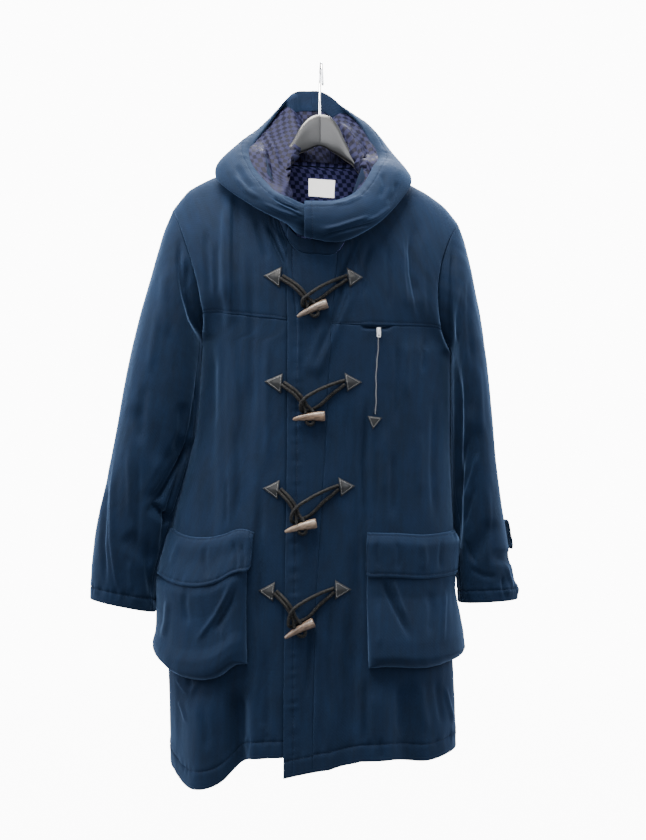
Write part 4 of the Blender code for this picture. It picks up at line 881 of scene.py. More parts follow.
hem = near(FREE, HEM_STITCH)
left_front = panel(-1, left_columns, front_height)
right_front = panel(-1, right_columns, front_height, 1.0)
lap = panel(-1, placket_columns, front_height, 1.0)
rear = panel(1, back_columns, back_height)
fronts = []
for side_name, surface, last_col, side_seams, seed in (
    ("left", left_front, 16, ("first",), 3),
    ("right", right_front, 12, ("first", "last"), 11),
):
    low = cut(surface, (0, YOKE_ROW), (0, last_col), bottom=hem)
    high = cut(surface, (YOKE_ROW, TOP_ROW), (0, last_col), bottom=near(SEWN, YOKE_STITCH))
    for part, piece, sewn, line, own_seed in (
        ("front", low, ("top",), ("bottom", HEM_STITCH, 1.4), seed),
        ("yoke", high, ("top", "bottom"), ("bottom", YOKE_STITCH, 0.25), seed + 4),
    ):
        sink = 0.0
        if side_name == "left":
            # The left front sinks under the lap of the storm placket.
            free = straight(PLACKET, 1, piece["points"][..., 2])
            sink = -(CLOTH + LAP + 0.6) * ease((piece["points"][..., 0] - free + 5.0) / 9.0)
        relief = creased(piece, FRONT_CREASES) * ease(sink + 1.0) + drape(piece, own_seed)
        made = shell(
            f"cloth_{part}_{side_name}", piece, 1, NAVY, sewn=sewn + side_seams,
            lift=sink, relief=relief, stitched=(line,), inside=NAVY_INNER,
        )
        hang(made, piece, "navy_cloth", "hung", ["hanger"], f"{part}_{side_name}")
        fronts.append(piece)

lap_piece = cut(lap, (0, TOP_ROW), (0, 4), bottom=hem, first=near(FREE, LAP_STITCH))
made = shell(
    "cloth_placket", lap_piece, 1, NAVY, sewn=("top", "last"),
    lift=0.9 * np.exp(-lap_piece["first"] / 14.0),
    relief=creased(lap_piece, FRONT_CREASES) + drape(lap_piece, 19),
    stitched=(("bottom", HEM_STITCH, 0.7), ("first", LAP_STITCH, 1.1)), inside=NAVY_INNER,
)
hang(made, lap_piece, "navy_cloth", "hung", ["cloth_front_right"], "placket")

back_piece = cut(rear, (0, TOP_ROW), (0, 26), pitch=5.0, bottom=hem)
made = shell(
    "cloth_back", back_piece, -1, NAVY, sewn=("top", "first", "last"),
    relief=creased(back_piece, BACK_CREASES) + drape(back_piece, 23, 1.3),
    stitched=(("bottom", HEM_STITCH, 1.4),), inside=NAVY_INNER,
)
hang(made, back_piece, "navy_cloth", "hung", ["hanger"], "back")

# ---- sleeves --------------------------------------------------------------------
# Two-piece sleeves of the same cloth, set into the armholes by hand and fed in full at
# the crown; each cuff is turned up and sewn once round, which puckers it.

# Rings of the sleeves, from the armhole to the cuff, seen from the front:
# outer x, outer z, inner x, inner z, middle y, half depth
LEFT_SLEEVE = (
    (-244, -240, -197, -452, 0, 66),
    (-258, -276, -196, -459, -2, 70),
    (-271, -318, -194, -468, -5, 73),
    (-285, -368, -194, -482, -8, 74),
    (-301, -426, -196, -510, -11, 74),
    (-321, -515, -197, -560, -14, 72),
    (-337, -606, -204, -624, -17, 66),
    (-347, -658, -216, -674, -19, 61),
    (-357, -705, -230, -722, -20, 57),
    (-370, -770, -250, -784, -20, 53),
    (-377, -828, -268, -845, -19, 49),
    (-380, -879, -271, -901, -18, 46),
)
RIGHT_SLEEVE = (
    (225, -264, 212, -478, 0, 66),
    (236, -296, 213, -486, 4, 73),
    (246, -335, 212, -496, 8, 79),
    (256, -385, 211, -511, 12, 84),
    (266, -440, 211, -535, 16, 87),
    (276, -510, 211, -575, 20, 87),
    (283, -580, 212, -622, 22, 81),
    (288, -640, 213, -662, 22, 75),
    (295, -700, 214, -714, 21, 69),
    (304, -762, 217, -772, 19, 63),
    (315, -826, 222, -830, 17, 57),
    (325, -882, 226, -888, 16, 53),
)
LEFT_SLEEVE_FOLDS = (
    (-214, -612, -277, -728, 22, -10),
    (-280, -722, -240, -752, 16, -6),
    (-312, -560, -246, -664, 26, -4),
    (-320, -770, -270, -818, 22, -5),
)
RIGHT_SLEEVE_FOLDS = (
    (272, -808, 362, -824, 15, -7),
    (285, -866, 375, -866, 15, 4),
    (256, -452, 236, -590, 20, -4),
    (250, -590, 232, -716, 20, -5),
    (284, -748, 238, -818, 20, -6),
)
LEFT_SLEEVE_CREASES = (
    (((-195, -466), (-202, -539), (-211, -603), (-234, -683), (-253, -748), (-266, -836)),
     7, 5, -5.3),
    (((-231, -285), (-231, -333), (-223, -381), (-211, -423), (-195, -458)), 7, 9, -6.6, 1.4),
    (((-216, -322), (-218, -373), (-211, -410), (-200, -446)), 5, 6, -5.3, 1.4),
    (((-224, -314), (-224, -354), (-215, -402)), 4, 4, 2.7),
    (((-251, -333), (-255, -394), (-247, -458)), 14, 12, 3.0),
    (((-223, -555), (-224, -603), (-235, -642)), 15, 14, -5.7),
    (((-211, -619), (-237, -664), (-260, -703), (-277, -725)), 6, 9, -12.0, 1.4),
    (((-277, -720), (-263, -733), (-243, -753)), 6, 8, -8.6, 1.4),
    (((-234, -632), (-260, -677), (-282, -712)), 8, 9, 3.8),
    (((-336, -643), (-340, -716), (-340, -780), (-334, -833), (-325, -876)), 5, 12, 4.9, 1.6),
    (((-348, -667), (-352, -724), (-354, -788), (-348, -863)), 8, 7, -5.3, 1.3),
    (((-311, -632), (-310, -683), (-309, -748)), 8, 9, 2.8),
    (((-296, -643), (-295, -716), (-300, -812)), 9, 8, -3.2),
    (((-282, -523), (-292, -587), (-293, -632)), 14, 14, -2.8),
    (((-279, -764), (-282, -828), (-276, -883)), 8, 8, -3.5),
    (((-311, -812), (-308, -870)), 8, 8, 2.5),
    (((-260, -394), (-272, -474), (-279, -516)), 12, 12, 2.3),
)
RIGHT_SLEEVE_CREASES = (
    (((219, -474), (222, -555), (222, -636), (222, -733), (221, -838)), 6, 12, -9.3),
    (((214, -289), (209, -344), (208, -425), (213, -480)), 6, 13, -7.0, 1.4),
    (((227, -364), (220, -422), (221, -467)), 7, 8, 3.7, 1.3),
    (((240, -344), (237, -425), (244, -506)), 9, 9, -3.0),
    (((256, -636), (245, -681), (232, -723)), 8, 7, 4.1, 1.6),
    (((239, -610), (229, -668), (222, -716)), 8, 8, -4.8, 1.3),
    (((252, -691), (240, -729), (229, -765)), 7, 8, -3.7, 1.3),
    (((269, -684), (273, -765), (268, -838)), 9, 9, 2.8),
    (((234, -781), (244, -807), (255, -823)), 6, 6, -3.7, 1.6),
    (((240, -830), (266, -841), (289, -843)), 7, 7, -3.2, 1.4),
    (((302, -823), (307, -843), (315, -865)), 6, 6, 3.7, 1.4),
    (((295, -839), (297, -862), (302, -881)), 5, 6, -3.7, 1.4),
    (((253, -490), (256, -555), (261, -619)), 12, 10, 2.5),
)
LEFT_BEHIND_CREASES = (
    (((-244, -301), (-234, -369), (-214, -436)), 9, 9, -5.3, 1.4),
    (((-271, -385), (-285, -486), (-288, -587)), 14, 12, 3.7),
    (((-231, -604), (-271, -658), (-325, -684)), 12, 12, -5.8, 1.4),
    (((-244, -671), (-288, -715), (-342, -731)), 10, 12, -4.7, 1.4),
    (((-288, -755), (-308, -822), (-305, -886)), 9, 9, -3.7),
    (((-339, -755), (-352, -822), (-352, -883)), 9, 9, 3.2),
)
RIGHT_BEHIND_CREASES = (
    (((218, -298), (215, -383), (222, -468)), 9, 9, -5.3, 1.4),
    (((252, -383), (259, -485), (263, -587)), 12, 12, 3.5),
    (((232, -638), (259, -679), (293, -699)), 12, 12, -5.5, 1.4),
    (((235, -706), (263, -743), (303, -760)), 10, 12, -4.5, 1.4),
    (((259, -791), (269, -842), (266, -893)), 9, 9, -3.5),
)
RINGS = len(LEFT_SLEEVE) - 1
ARM_ANGLES = np.arccos(1.0 - 2.0 * np.array(ARM_STEPS))
SEAM_ANGLES = (ARM_ANGLES[1], math.tau - ARM_ANGLES[5])
CUFF_STITCH = 20.0


def armhole_point(sign, angle):
    """The armhole seam: angle 0 is the armpit, a quarter turn the front."""
    up = 0.5 - 0.5 * np.cos(angle)
    edge = math.pi if sign > 0 else 0.0
    front = body(-1, edge + 0.0 * angle, 1.0 + up)
    rear = body(1, edge + 0.0 * angle, 1.0 + up)
    return np.where((np.sin(angle) >= 0)[..., None], front, rear)


def beside_body(sign, points):
    """A sleeve lies against the body's side and stops just short of its cloth."""
    x, y, z = np.moveaxis(points, -1, 0)
    middle, half = half_section(np.clip((z - HEM_Z) / (ARMPIT_Z - HEM_Z), 0.0, 1.0))
    depth = np.where(y < 0, curve(BODY, 3, z), curve(BODY, 4, z))
    deep = np.clip(np.abs(y) / depth, 0.0, 1.0)
    edge = middle + sign * (half * (1.0 - deep**SQUARENESS) ** (1.0 / SQUARENESS) + 1.0)
    over = np.maximum((edge - x) * sign, 0.0) * ease((-455.0 - z) / 25.0)
    return np.stack([x + sign * over, y, z], axis=-1)


def sleeve(sign, angle, ring):
    """A sleeve's outer surface; sign is -1 for the left one, ring counts the table's rows."""
    table = LEFT_SLEEVE if sign < 0 else RIGHT_SLEEVE
    folds = LEFT_SLEEVE_FOLDS if sign < 0 else RIGHT_SLEEVE_FOLDS
    angle, ring = together(angle, ring)
    ox, oz, ix, iz, y0, deep = np.moveaxis(smooth(range(RINGS + 1), table, ring), -1, 0)
    reach = squircle(angle, 2.0 + 0.3 * np.clip(ring / 4.0, 0.0, 1.0))
    along = -reach * np.cos(angle)
    x = (ox + ix) / 2 + (ox - ix) / 2 * along
    z = (oz + iz) / 2 + (oz - iz) / 2 * along
    points = np.stack([x, y0 - deep * reach * np.sin(angle), z], axis=-1)
    first = np.moveaxis(smooth(range(RINGS + 1), table, 0.0 * ring), -1, 0)
    start = [
        (first[0] + first[2]) / 2 - (first[0] - first[2]) / 2 * np.cos(angle),
        first[4] - first[5] * np.sin(angle),
        (first[1] + first[3]) / 2 - (first[1] - first[3]) / 2 * np.cos(angle),
    ]
    blend = (1.0 - np.clip(ring / 2.5, 0.0, 1.0)) ** 2
    points = points + (armhole_point(sign, angle) - np.stack(start, axis=-1)) * blend[..., None]
    away = 0.7 * (1.0 - np.clip(ring / 4.0, 0.0, 1.0))
    under = 4.5 * (1.0 - np.clip(ring / 0.3, 0.0, 1.0)) * ease((np.cos(angle) - 0.1) / 0.5)
    points[..., 0] += sign * (away - under)
    out = unit(points - np.stack([(ox + ix) / 2, y0, (oz + iz) / 2], axis=-1))
    height = fold_height(folds, x, z) * ease((np.sin(angle) + 0.35) / 0.5)
    return beside_body(sign, points + out * height[..., None])


def turned_forward(normals):
    """1 where cloth faces forwards, 0 where it faces back, and a soft change between."""
    return ease(0.5 - normals[..., 1] * 1.6)


sleeve_seed = 41
for side_name, sign in SIGNS.items():
    ahead = LEFT_SLEEVE_CREASES if sign < 0 else RIGHT_SLEEVE_CREASES
    behind = LEFT_BEHIND_CREASES if sign < 0 else RIGHT_BEHIND_CREASES
    spans = {"top": SEAM_ANGLES, "under": (SEAM_ANGLES[1], math.tau + SEAM_ANGLES[0])}
    for part, span in spans.items():

        def surface(ring, angles):
            return sleeve(sign, angles, ring)

        pitch = 3.9 if part == "top" else 4.6
        piece = cut(surface, (0, RINGS), span, pitch=pitch, top=near(FREE, CUFF_STITCH))
        in_front = turned_forward(normals_of(piece["points"], -sign))
        relief = creased(piece, ahead) * in_front + creased(piece, behind) * (1.0 - in_front)
        relief = relief * ease(piece["bottom"] / 12.0) + drape(piece, sleeve_seed, 1.1)
        sleeve_seed += 3
        made = shell(
            f"cloth_sleeve_{side_name}_{part}", piece, -sign, NAVY,
            sewn=("bottom", "first", "last"), relief=relief,
            stitched=(("top", CUFF_STITCH, 1.6),), inside=NAVY_INNER,
        )
        hang(made, piece, "navy_cloth", "hung", ["cloth_back"], f"sleeve_{side_name}_{part}")

# ---- neck stand -------------------------------------------------------------------
# A low band of doubled cloth round the neckline, higher at the throat, which the hood
# is sewn to.

CHECK_MM = 7.5


def squares(tree, shader, place, size, light, dark):
    """Colours the surface in squares of this many millimetres, and hands on the pattern."""
    inputs = {
        "Vector": place, "Scale": 1000 / size, "Color1": colour(light), "Color2": colour(dark),
    }
    check = add(tree, "ShaderNodeTexChecker", inputs)
    tree.links.new(check.outputs["Color"], shader.inputs["Base Color"])
    return check.outputs["Fac"]


def checks(name, light, dark):
    """Satin woven in small checks: a light face catches the light, a dark one doesn't."""
    made, tree, shader = finish(name, Roughness=0.4, IOR=1.5, Specular_IOR_Level=0.04)
    place = cloth_place(tree)
    check = squares(tree, shader, place, CHECK_MM, light, dark)
    tree.links.new(ranged(tree, check, to_low=0.5, to_high=0.66), shader.inputs["Roughness"])
    bumped(tree, shader, noise(tree, place, 900.0, 2.0), 0.15, 0.0002)
    return made


CHECKS = checks("checked_satin_lining", "#1b1c30", "#090a17")
# The neck's copy of the satin is painted lighter than the hood lining's: painted light on the
# lining that lies deep in the hood's shade.
NECK_CHECKS_PAINTED_LIGHTER = checks("checked_satin_neck_lining_painted_lighter", "#454570", "#1a1d3a")
# The middle of the neck, across and in depth, and the stand's height in front and behind
NECK_AXIS = np.array((-12.0, -15.0))
STAND_FRONT, STAND_BACK = 24.0, 9.0
# The neckline, from under the lap over the left front, the back and the right front to the
# lap's free edge: panel, first and last column, points
NECKLINE = (
    (left_front, 16, 8.1, 60),
    (rear, 9.1, 16.9, 110),
    (right_front, 3.9, 0.1, 50),
    (lap, 4, 0, 40),
)
foot = np.concatenate([surface(TOP_ROW, np.linspace(*ends)) for surface, *ends in NECKLINE])
sunk = ease((foot[:, 0] + 57.0) / 9.0) * (np.arange(len(foot)) < NECKLINE[0][3])
foot[:, 1] += 3.9 * sunk
keys = run(foot)
spread = np.linspace(0, keys[-1], 260)
foot = between(keys, foot, spread)
for _ in range(6):
    foot[1:-1] = (foot[:-2] + 2 * foot[1:-1] + foot[2:]) / 4

stand_out = np.concatenate([unit(foot[:, :2] - NECK_AXIS), np.zeros((len(foot), 1))], axis=-1)
throat = ease((-foot[:, 1] - 20.0) / 70.0)
rise = STAND_BACK + (STAND_FRONT - STAND_BACK) * throat
top_line = foot - stand_out * CLOTH / 2
top_line[:, 2] += 0.6 + rise
corner = np.clip(1.0 - (spread[-1] - spread) / 9.0, 0.0, 1.0)
rise = rise - 9.0 * (1.0 - np.sqrt(1.0 - corner**2))
ups = np.concatenate(
    [
        np.array(SEWN) / STAND_FRONT, np.linspace(0.24, 0.86, 7),
        1 - np.array(FREE)[::-1] / STAND_FRONT,
    ]
)
rows = []
for share in ups:
    row = foot + stand_out * (1.0 * math.sin(math.pi * share) + 0.15 + 0.5 * share)
    row = row + stand_out * (0.35 * ripple(spread, 17.0, 5) * share)[:, None]
    row[:, 2] += 0.2 + rise * share
    rows.append(row)
stand = {
    "points": np.array(rows),
    "first": spread[None, :] + 0 * ups[:, None],
    "last": spread[-1] - spread[None, :] + 0 * ups[:, None],
    "bottom": ups[:, None] * rise[None, :],
    "top": (1 - ups)[:, None] * rise[None, :],
}
centre = stand["points"].mean(axis=(0, 1))
side = normals_of(stand["points"], 1)
stand_sign = 1 if (side * (stand["points"] - centre)).sum() > 0 else -1
# Inside, the stand takes the neck lining's copy of the satin, which is painted lighter as painted
# light.
made = shell("cloth_neck_stand", stand, stand_sign, NAVY, sewn=("bottom",), inside=NECK_CHECKS_PAINTED_LIGHTER)
for polygon in made.data.polygons:
    if polygon.center.y < -0.03:
        polygon.material_index = 0
hang(made, stand, "navy_cloth", "stretched", ["cloth_placket", "cloth_back"], "neck_stand")

# ---- hood -------------------------------------------------------------------------
# Two halves of the same cloth sewn at the middle of the back; it lies rolled back on the
# shoulders. Its opening is faced with plain cloth and sewn round as a cord's channel.

# Stations round the hood from its left end at the throat, over the back, to its right
# end, which laps over. Each is a profile: edge, crest, out, low, tuck and seam.
HOOD = (
    ((13, -106, -247), (13, -116, -253), (13, -124, -266),
     (13, -121, -280), (13, -113, -286), (13, -104, -290)),
    ((-23, -108, -243), (-23, -119, -248), (-23, -127, -263),
     (-23, -124, -278), (-23, -115, -284), (-23, -106, -288)),
    ((-47, -112, -233), (-47, -123, -239), (-46, -130, -255),
     (-45, -127, -271), (-45, -117, -278), (-45, -107, -281)),
    ((-77, -95, -216), (-86, -109, -220), (-98, -117, -232),
     (-106, -109, -247), (-98, -98, -250), (-66, -86, -240)),
    ((-103, -48, -178), (-121, -60, -175), (-153, -66, -183),
     (-170, -54, -196), (-152, -45, -199), (-88, -30, -166)),
    ((-113, -5, -137), (-127, -4, -131), (-151, 0, -141),
     (-163, 5, -158), (-142, 8, -160), (-90, 2, -141)),
    ((-92, 32, -96), (-103, 50, -96), (-124, 86, -128),
     (-130, 104, -180), (-108, 92, -206), (-66, 36, -150)),
    ((-52, 55, -42), (-57, 75, -50), (-68, 122, -104),
     (-74, 150, -206), (-60, 128, -262), (-32, 43, -147)),
    ((-17, 58, -38), (-17, 79, -46), (-14, 138, -102),
     (-12, 168, -222), (-12, 142, -288), (-8, 45, -146)),
    ((28, 53, -57), (33, 74, -60), (44, 124, -110),
     (50, 152, -210), (38, 126, -266), (20, 44, -148)),
    ((66, 36, -94), (79, 52, -93), (104, 88, -130),
     (110, 108, -190), (92, 92, -216), (54, 37, -156)),
    ((87, -2, -147), (101, -3, -147), (127, 0, -158),
     (141, 5, -179), (120, 9, -175), (80, 2, -155)),
    ((82, -45, -176), (97, -57, -176), (124, -64, -191),
     (143, -53, -211), (122, -47, -214), (76, -32, -180)),
    ((59, -92, -216), (68, -108, -225), (83, -119, -248),
     (93, -111, -271), (82, -98, -274), (56, -86, -252)),
    ((24, -112, -235), (27, -127, -244), (32, -137, -270),
     (36, -134, -294), (33, -122, -303), (30, -110, -300)),
    ((-27, -116, -237), (-27, -130, -246), (-27, -138, -268),
     (-27, -135, -287), (-27, -125, -295), (-27, -114, -297)),
)
HOOD_CREASES = (
    (((-64, -228), (-49, -238), (-29, -249)), 4, 4, -3.9, 1.7),
    (((-82, -230), (-58, -246), (-29, -258)), 4, 5, -3.5, 1.4),
    (((-95, -241), (-66, -255), (-34, -266)), 5, 5, 2.8, 1.3),
    (((-72, -242), (-50, -252), (-29, -265)), 3, 4, 2.5, 1.3),
    (((-138, -172), (-125, -198), (-108, -220)), 9, 9, -3.5),
    (((-143, -191), (-120, -220), (-95, -236)), 7, 7, 3.0),
    (((92, -270), (68, -278), (46, -284), (18, -292), (-10, -301)), 5, 5, -4.9, 1.6),
    (((81, -262), (55, -271), (26, -281), (-2, -287)), 6, 6, 3.2, 1.3),
    (((113, -244), (90, -263), (68, -274)), 6, 5, 3.0, 1.3),
    (((122, -201), (119, -220), (106, -242)), 8, 8, -3.0),
    (((97, -185), (103, -211), (93, -236)), 9, 9, -2.8),
    (((14, -246), (42, -241), (68, -227)), 6, 6, 2.5),
)
LINING_CREASES = (
    (((-41, -81), (-42, -121), (-49, -171), (-52, -217)), 7, 9, 7.0, 1.4),
    (((21, -86), (41, -112), (61, -146), (81, -197)), 9, 8, 7.0, 1.4),
    (((39, -84), (64, -121), (87, -171)), 6, 8, -3.8, 1.4),
    (((-99, -104), (-82, -137), (-69, -184)), 8, 8, 4.3, 1.3),
)
BACK_STATION, LAST_STATION = 8, 15
# Stations at which the hood is raised over the shoulders
HOOD_STATIONS = (
    0, 1, 1.6, 2.2, 2.8, 3.4, 4, 4.5, 5, 5.5, 6, 6.5, 7.2, 8, 8.7, 9.4, 10, 10.5, 11, 11.5, 12,
    12.5, 13, 13.5, 14, 14.5, 15,
)
# Columns 0 to 3 over the facing's width, as shares of it, and 4 to 11 over the rest
FACING_WIDTH = 35.0
FACING_SHARES = np.array((0.0, 0.35, 0.7, 1.0))
BELOW_FACING = np.array((0.09, 0.2, 0.34, 0.5, 0.66, 0.8, 0.91, 1.0))
HOOD_CLOTH, LINING = 2.6, 1.0
# The cord's channel and the throat ends are stitched this far from their edges
CHANNEL, THROAT_STITCH = 20.0, 13.0
OVER_BODY = 4.5


def caster(pieces):
    """Sewn cloth as one set of faces to cast rays at, in millimetres."""
    points, faces = [], []
    for piece in pieces:
        rows, cols = piece["outer"].shape[:2]
        i, j = np.meshgrid(np.arange(rows - 1), np.arange(cols - 1), indexing="ij")
        a = (i * cols + j).ravel() + len(points)
        faces += np.stack([a, a + 1, a + cols + 1, a + cols], axis=1).tolist()
        points += piece["outer"].reshape(-1, 3).tolist()
    return BVHTree.FromPolygons(points, faces)


shoulders = caster([fronts[1], fronts[3], lap_piece, back_piece])
keys = run(top_line)
top_line = between(keys, top_line, np.linspace(0, keys[-1], 1600))


def above_stand(point, station):
    """The nearest place on the stand's top edge, just above it."""
    part = top_line[:960] if station <= BACK_STATION else top_line[640:]
    found = part[np.argmin(np.linalg.norm(part[:, :2] - point[:2], axis=1))]
    rise = 3.7 + 4.4 * float(ease(2.2 - station))
    rise += 1.6 * hump((station - 4.5) / 1.2) + 0.8 * hump((station - 12.5) / 1.5)
    return found + np.array((0.0, 0.0, rise))


def hood_line(station, cols):
    """The hood at one station: columns 0 to 3 are the facing's band, 11 the neck seam."""
    points = smooth(range(LAST_STATION + 1), HOOD, np.array([station]))[0]
    points[-1] = above_stand(points[-1], station)
    along = run(points)
    end = FACING_WIDTH / along[-1]
    shares = np.concatenate([end * FACING_SHARES, end + (1 - end) * BELOW_FACING])
    return smooth(along, points, np.interp(cols, range(12), shares) * along[-1])


def ground(point):
    """The height of the shoulders' cloth under a point."""
    hit = shoulders.ray_cast(Vector((point[0], point[1], 0.0)), Vector((0, 0, -1)))[0]
    return -1e3 if hit is None else hit.z


raised = np.zeros((len(HOOD_STATIONS), 12))
for i, station in enumerate(HOOD_STATIONS):
    line = hood_line(float(station), np.arange(12.0))
    for j in range(4, 11):
        raised[i, j] = max(0.0, ground(line[j]) + OVER_BODY - line[j][2])


def hood_surface(station, cols):
    """The hood's outer face, lifted where it would sink into the shoulders."""
    points = hood_line(station, cols)
    lift = [np.interp(station, HOOD_STATIONS, raised[:, j]) for j in range(12)]
    points[:, 2] += np.interp(cols, range(12), lift)
    peak = 6.0 * hump((station - 8.45) / 0.5)
    points[:, 2] += peak * np.clip(1.0 - cols / 6.0, 0.0, 1.0)
    tucked = hump((station - 1.2) / 0.9) * np.clip((cols - 7.0) / 4.0, 0.0, 1.0)
    points += tucked[:, None] * np.array((0.0, 2.0, -7.0))
    for col, point in zip(cols, points):
        if 3.5 < col < 10.6:
            point[2] = max(point[2], ground(point) + 2.0)
    return points


# Where the padded lining bulges out of the hood's roll, before the hanger's arms:
# station, how far it does, and its foremost point
BULGES = (
    (1.6, 0.0, -50, -90, -240),
    (2.8, 1.0, -54, -78, -226),
    (4.0, 1.0, -50, -52, -200),
    (5.0, 1.0, -48, -20, -162),
    (6.0, 1.0, -45, 12, -120),
    (6.8, 1.0, -43, 36, -88),
    (7.4, 1.0, -34, 46, -108),
    (8.0, 1.0, -14, 48, -112),
    (8.8, 1.0, 10, 45, -108),
    (9.5, 1.0, 22, 36, -92),
    (10.3, 1.0, 40, 14, -120),
    (11.0, 1.0, 57, -14, -158),
    (12.0, 1.0, 72, -44, -196),
    (13.0, 1.0, 62, -80, -218),
    (14.2, 0.0, 40, -100, -240),
)


# Where the fold at the top of the facing's corner stands
FOLD_STATION = 7.15


def upright(station):
    """Behind the hanger the facing hangs straight down from the hood's edge."""
    return float(ease((station - 6.5) / 0.7) * ease((9.6 - station) / 0.7))


def facing_surface(station, cols):
    """The facing follows the hood, but its lower part goes in behind the bulging lining."""
    share = float(ease(straight(BULGES, 1, station)))
    up = upright(station)
    points = hood_surface(station, cols * (1.0 - 0.52 * share * (1.0 - up)))
    down = FACING_WIDTH * np.interp(cols, range(4), FACING_SHARES)[:, None]
    # The fold where the facing turns down stands forward, rounded to the left of its crest.
    fade = 0.34 if station < FOLD_STATION else -0.09
    corner = 11.0 * math.exp((station - FOLD_STATION) / fade) * np.clip(down / 9.0, 0.3, 1.0)
    hanging = hood_surface(station, np.array([0.0])) + down * np.array((0.05, -0.1, -0.99))
    hanging[:, 1:2] -= corner
    return points + (hanging - points) * up


def lining_surface(station, cols):
    """The lining lies on the hood's inside, but bulges out between its two sewn edges."""
    points = hood_surface(station, cols)
    share, *middle = (straight(BULGES, k, station) for k in (1, 2, 3, 4))
    start = np.array([1.0, 1.2, 1.4])
    down = hood_line(station, start)
    across = hood_line(min(station + 0.05, LAST_STATION), start)
    across = across - hood_line(max(station - 0.05, 0.0), start)
    ends = hood_surface(station, np.array([1.2, 11.0]))
    ends[0] -= unit(np.cross(across[1], down[2] - down[0])) * 7.5
    ends[0] += (facing_surface(station, np.array([2.9]))[0] - ends[0]) * upright(station)
    ends[1] += share * np.array((0.0, -8.0, -9.0))
    pull = 2 * np.array(middle) - ends.mean(axis=0)
    u = np.clip((cols - 3.0) / 8.0, 0.0, 1.0)[:, None]
    bulging = (1 - u) ** 2 * ends[0] + 2 * u * (1 - u) * pull + u**2 * ends[1]
    points = points + (bulging - points) * float(ease(share))
    lowest = np.array([ground(point) for point in points]) + 12.0
    lowest = lowest - 9.0 * ease((u[:, 0] - 0.6) / 0.3)
    lifted = 3.0 * np.logaddexp(points[:, 2] / 3.0, lowest / 3.0)
    points[:, 2] = np.where((u[:, 0] < 0.9) & (share > 0.5), lifted, points[:, 2])
    return points


def crumple(piece, seed, size):
    """The thin lining's loose folds, all to the inside."""
    u, v = piece["first"], piece["bottom"]
    large, small = unrest(u, v, 30.0, 46.0, seed), unrest(u, v, 13.0, 17.0, seed + 1)
    return size * (1.0 + 0.62 * large + 0.38 * small)


# The facing's navy is a lighter copy of the shell's: painted light on the inside of the hood's
# opening, which lies in shade.
FACING_PAINTED_LIGHTER = navy("navy_twill_facing_painted_lighter", "#0a182d", "#06101f", 0.3)
ALL_FREE = {"bottom": FREE, "top": FREE, "first": FREE, "last": FREE}
# Each half: its stations, its free and its sewn end, its own lines of stitching, and the
# seeds of its cloth and its lining
for half, stations, free, sewn_end, own_lines, seed, lining_seed in (
    ("left", (0, BACK_STATION), "bottom", "top", (), 61, 73),
    ("right", (BACK_STATION, LAST_STATION), "top", "bottom",
     (("top", THROAT_STITCH, 0.25),), 67, 79),
):
    ends = {free: near(FREE, THROAT_STITCH), sewn_end: SEWN}
    piece = cut(hood_surface, stations, (0, 11), pitch=4.1, first=near(FREE, CHANNEL), **ends)
    ahead = turned_forward(normals_of(piece["points"], -1))
    relief = creased(piece, HOOD_CREASES) * ahead + drape(piece, seed)
    made = shell(
        f"cloth_hood_{half}", piece, -1, NAVY, thick=HOOD_CLOTH, sewn=(sewn_end, "last"),
        relief=relief * ease(piece["last"] / 14.0),
        stitched=(("first", CHANNEL, 0.55), *own_lines), inside=NAVY_INNER,
    )
    hang(made, piece, "navy_cloth", "folded", ["cloth_neck_stand", "cloth_back"], f"hood_{half}")
    band = cut(facing_surface, stations, (0, 3.1), pitch=4.2, **ALL_FREE)
    ahead = turned_forward(normals_of(band["points"], -1))
    made = shell(
        f"cloth_hood_facing_{half}", band, 1, FACING_PAINTED_LIGHTER, thick=LINING, lift=HOOD_CLOTH + 1.2,
        relief=-creased(band, HOOD_CREASES) * ahead + 0.5 * drape(band, 71),
    )
    hang(made, band, "navy_facing", "stretched", [f"cloth_hood_{half}"], f"hood_facing_{half}")
    sheet = cut(lining_surface, stations, (2.9, 10.98), pitch=4.2, **ALL_FREE)
    ahead = turned_forward(normals_of(sheet["points"], -1))
    loose = crumple(sheet, lining_seed, 2.6)
    loose = loose * ease(sheet["first"] / 16.0) * ease(sheet["last"] / 12.0)
    relief = -creased(sheet, HOOD_CREASES) * ahead + loose
    relief = relief + creased(sheet, LINING_CREASES) * (1.0 - ahead)
    made = shell(
        f"satin_hood_{half}", sheet, 1, CHECKS, thick=LINING, lift=HOOD_CLOTH + 0.6, relief=relief
    )
    hang(made, sheet, "check_lining", "hung", [f"cloth_hood_{half}"], f"hood_lining_{half}")

# ---- neck lining and its label -----------------------------------------------------
# The same satin inside the back neck, in a copy painted lighter as painted light on its shaded
# place, and a bare white tape label sewn on it all round.

# The label's place in the back's rows and columns, and how far the lining lies inside
LABEL_ROWS, LABEL_COLS = (21.15, 22.07), (12.52, 14.75)
LINING_LIFT = CLOTH + 0.4 + LINING
piece = cut(rear, (19, TOP_ROW), (9, 17), bottom=FREE, first=FREE, last=FREE)
relief = crumple(piece, 83, 1.6) * ease(piece["top"] / 10.0)
made = shell("satin_neck", piece, 1, NECK_CHECKS_PAINTED_LIGHTER, thick=LINING, lift=LINING_LIFT, relief=relief)
hang(made, piece, "check_lining", "hung", ["cloth_back"], "neck_lining")

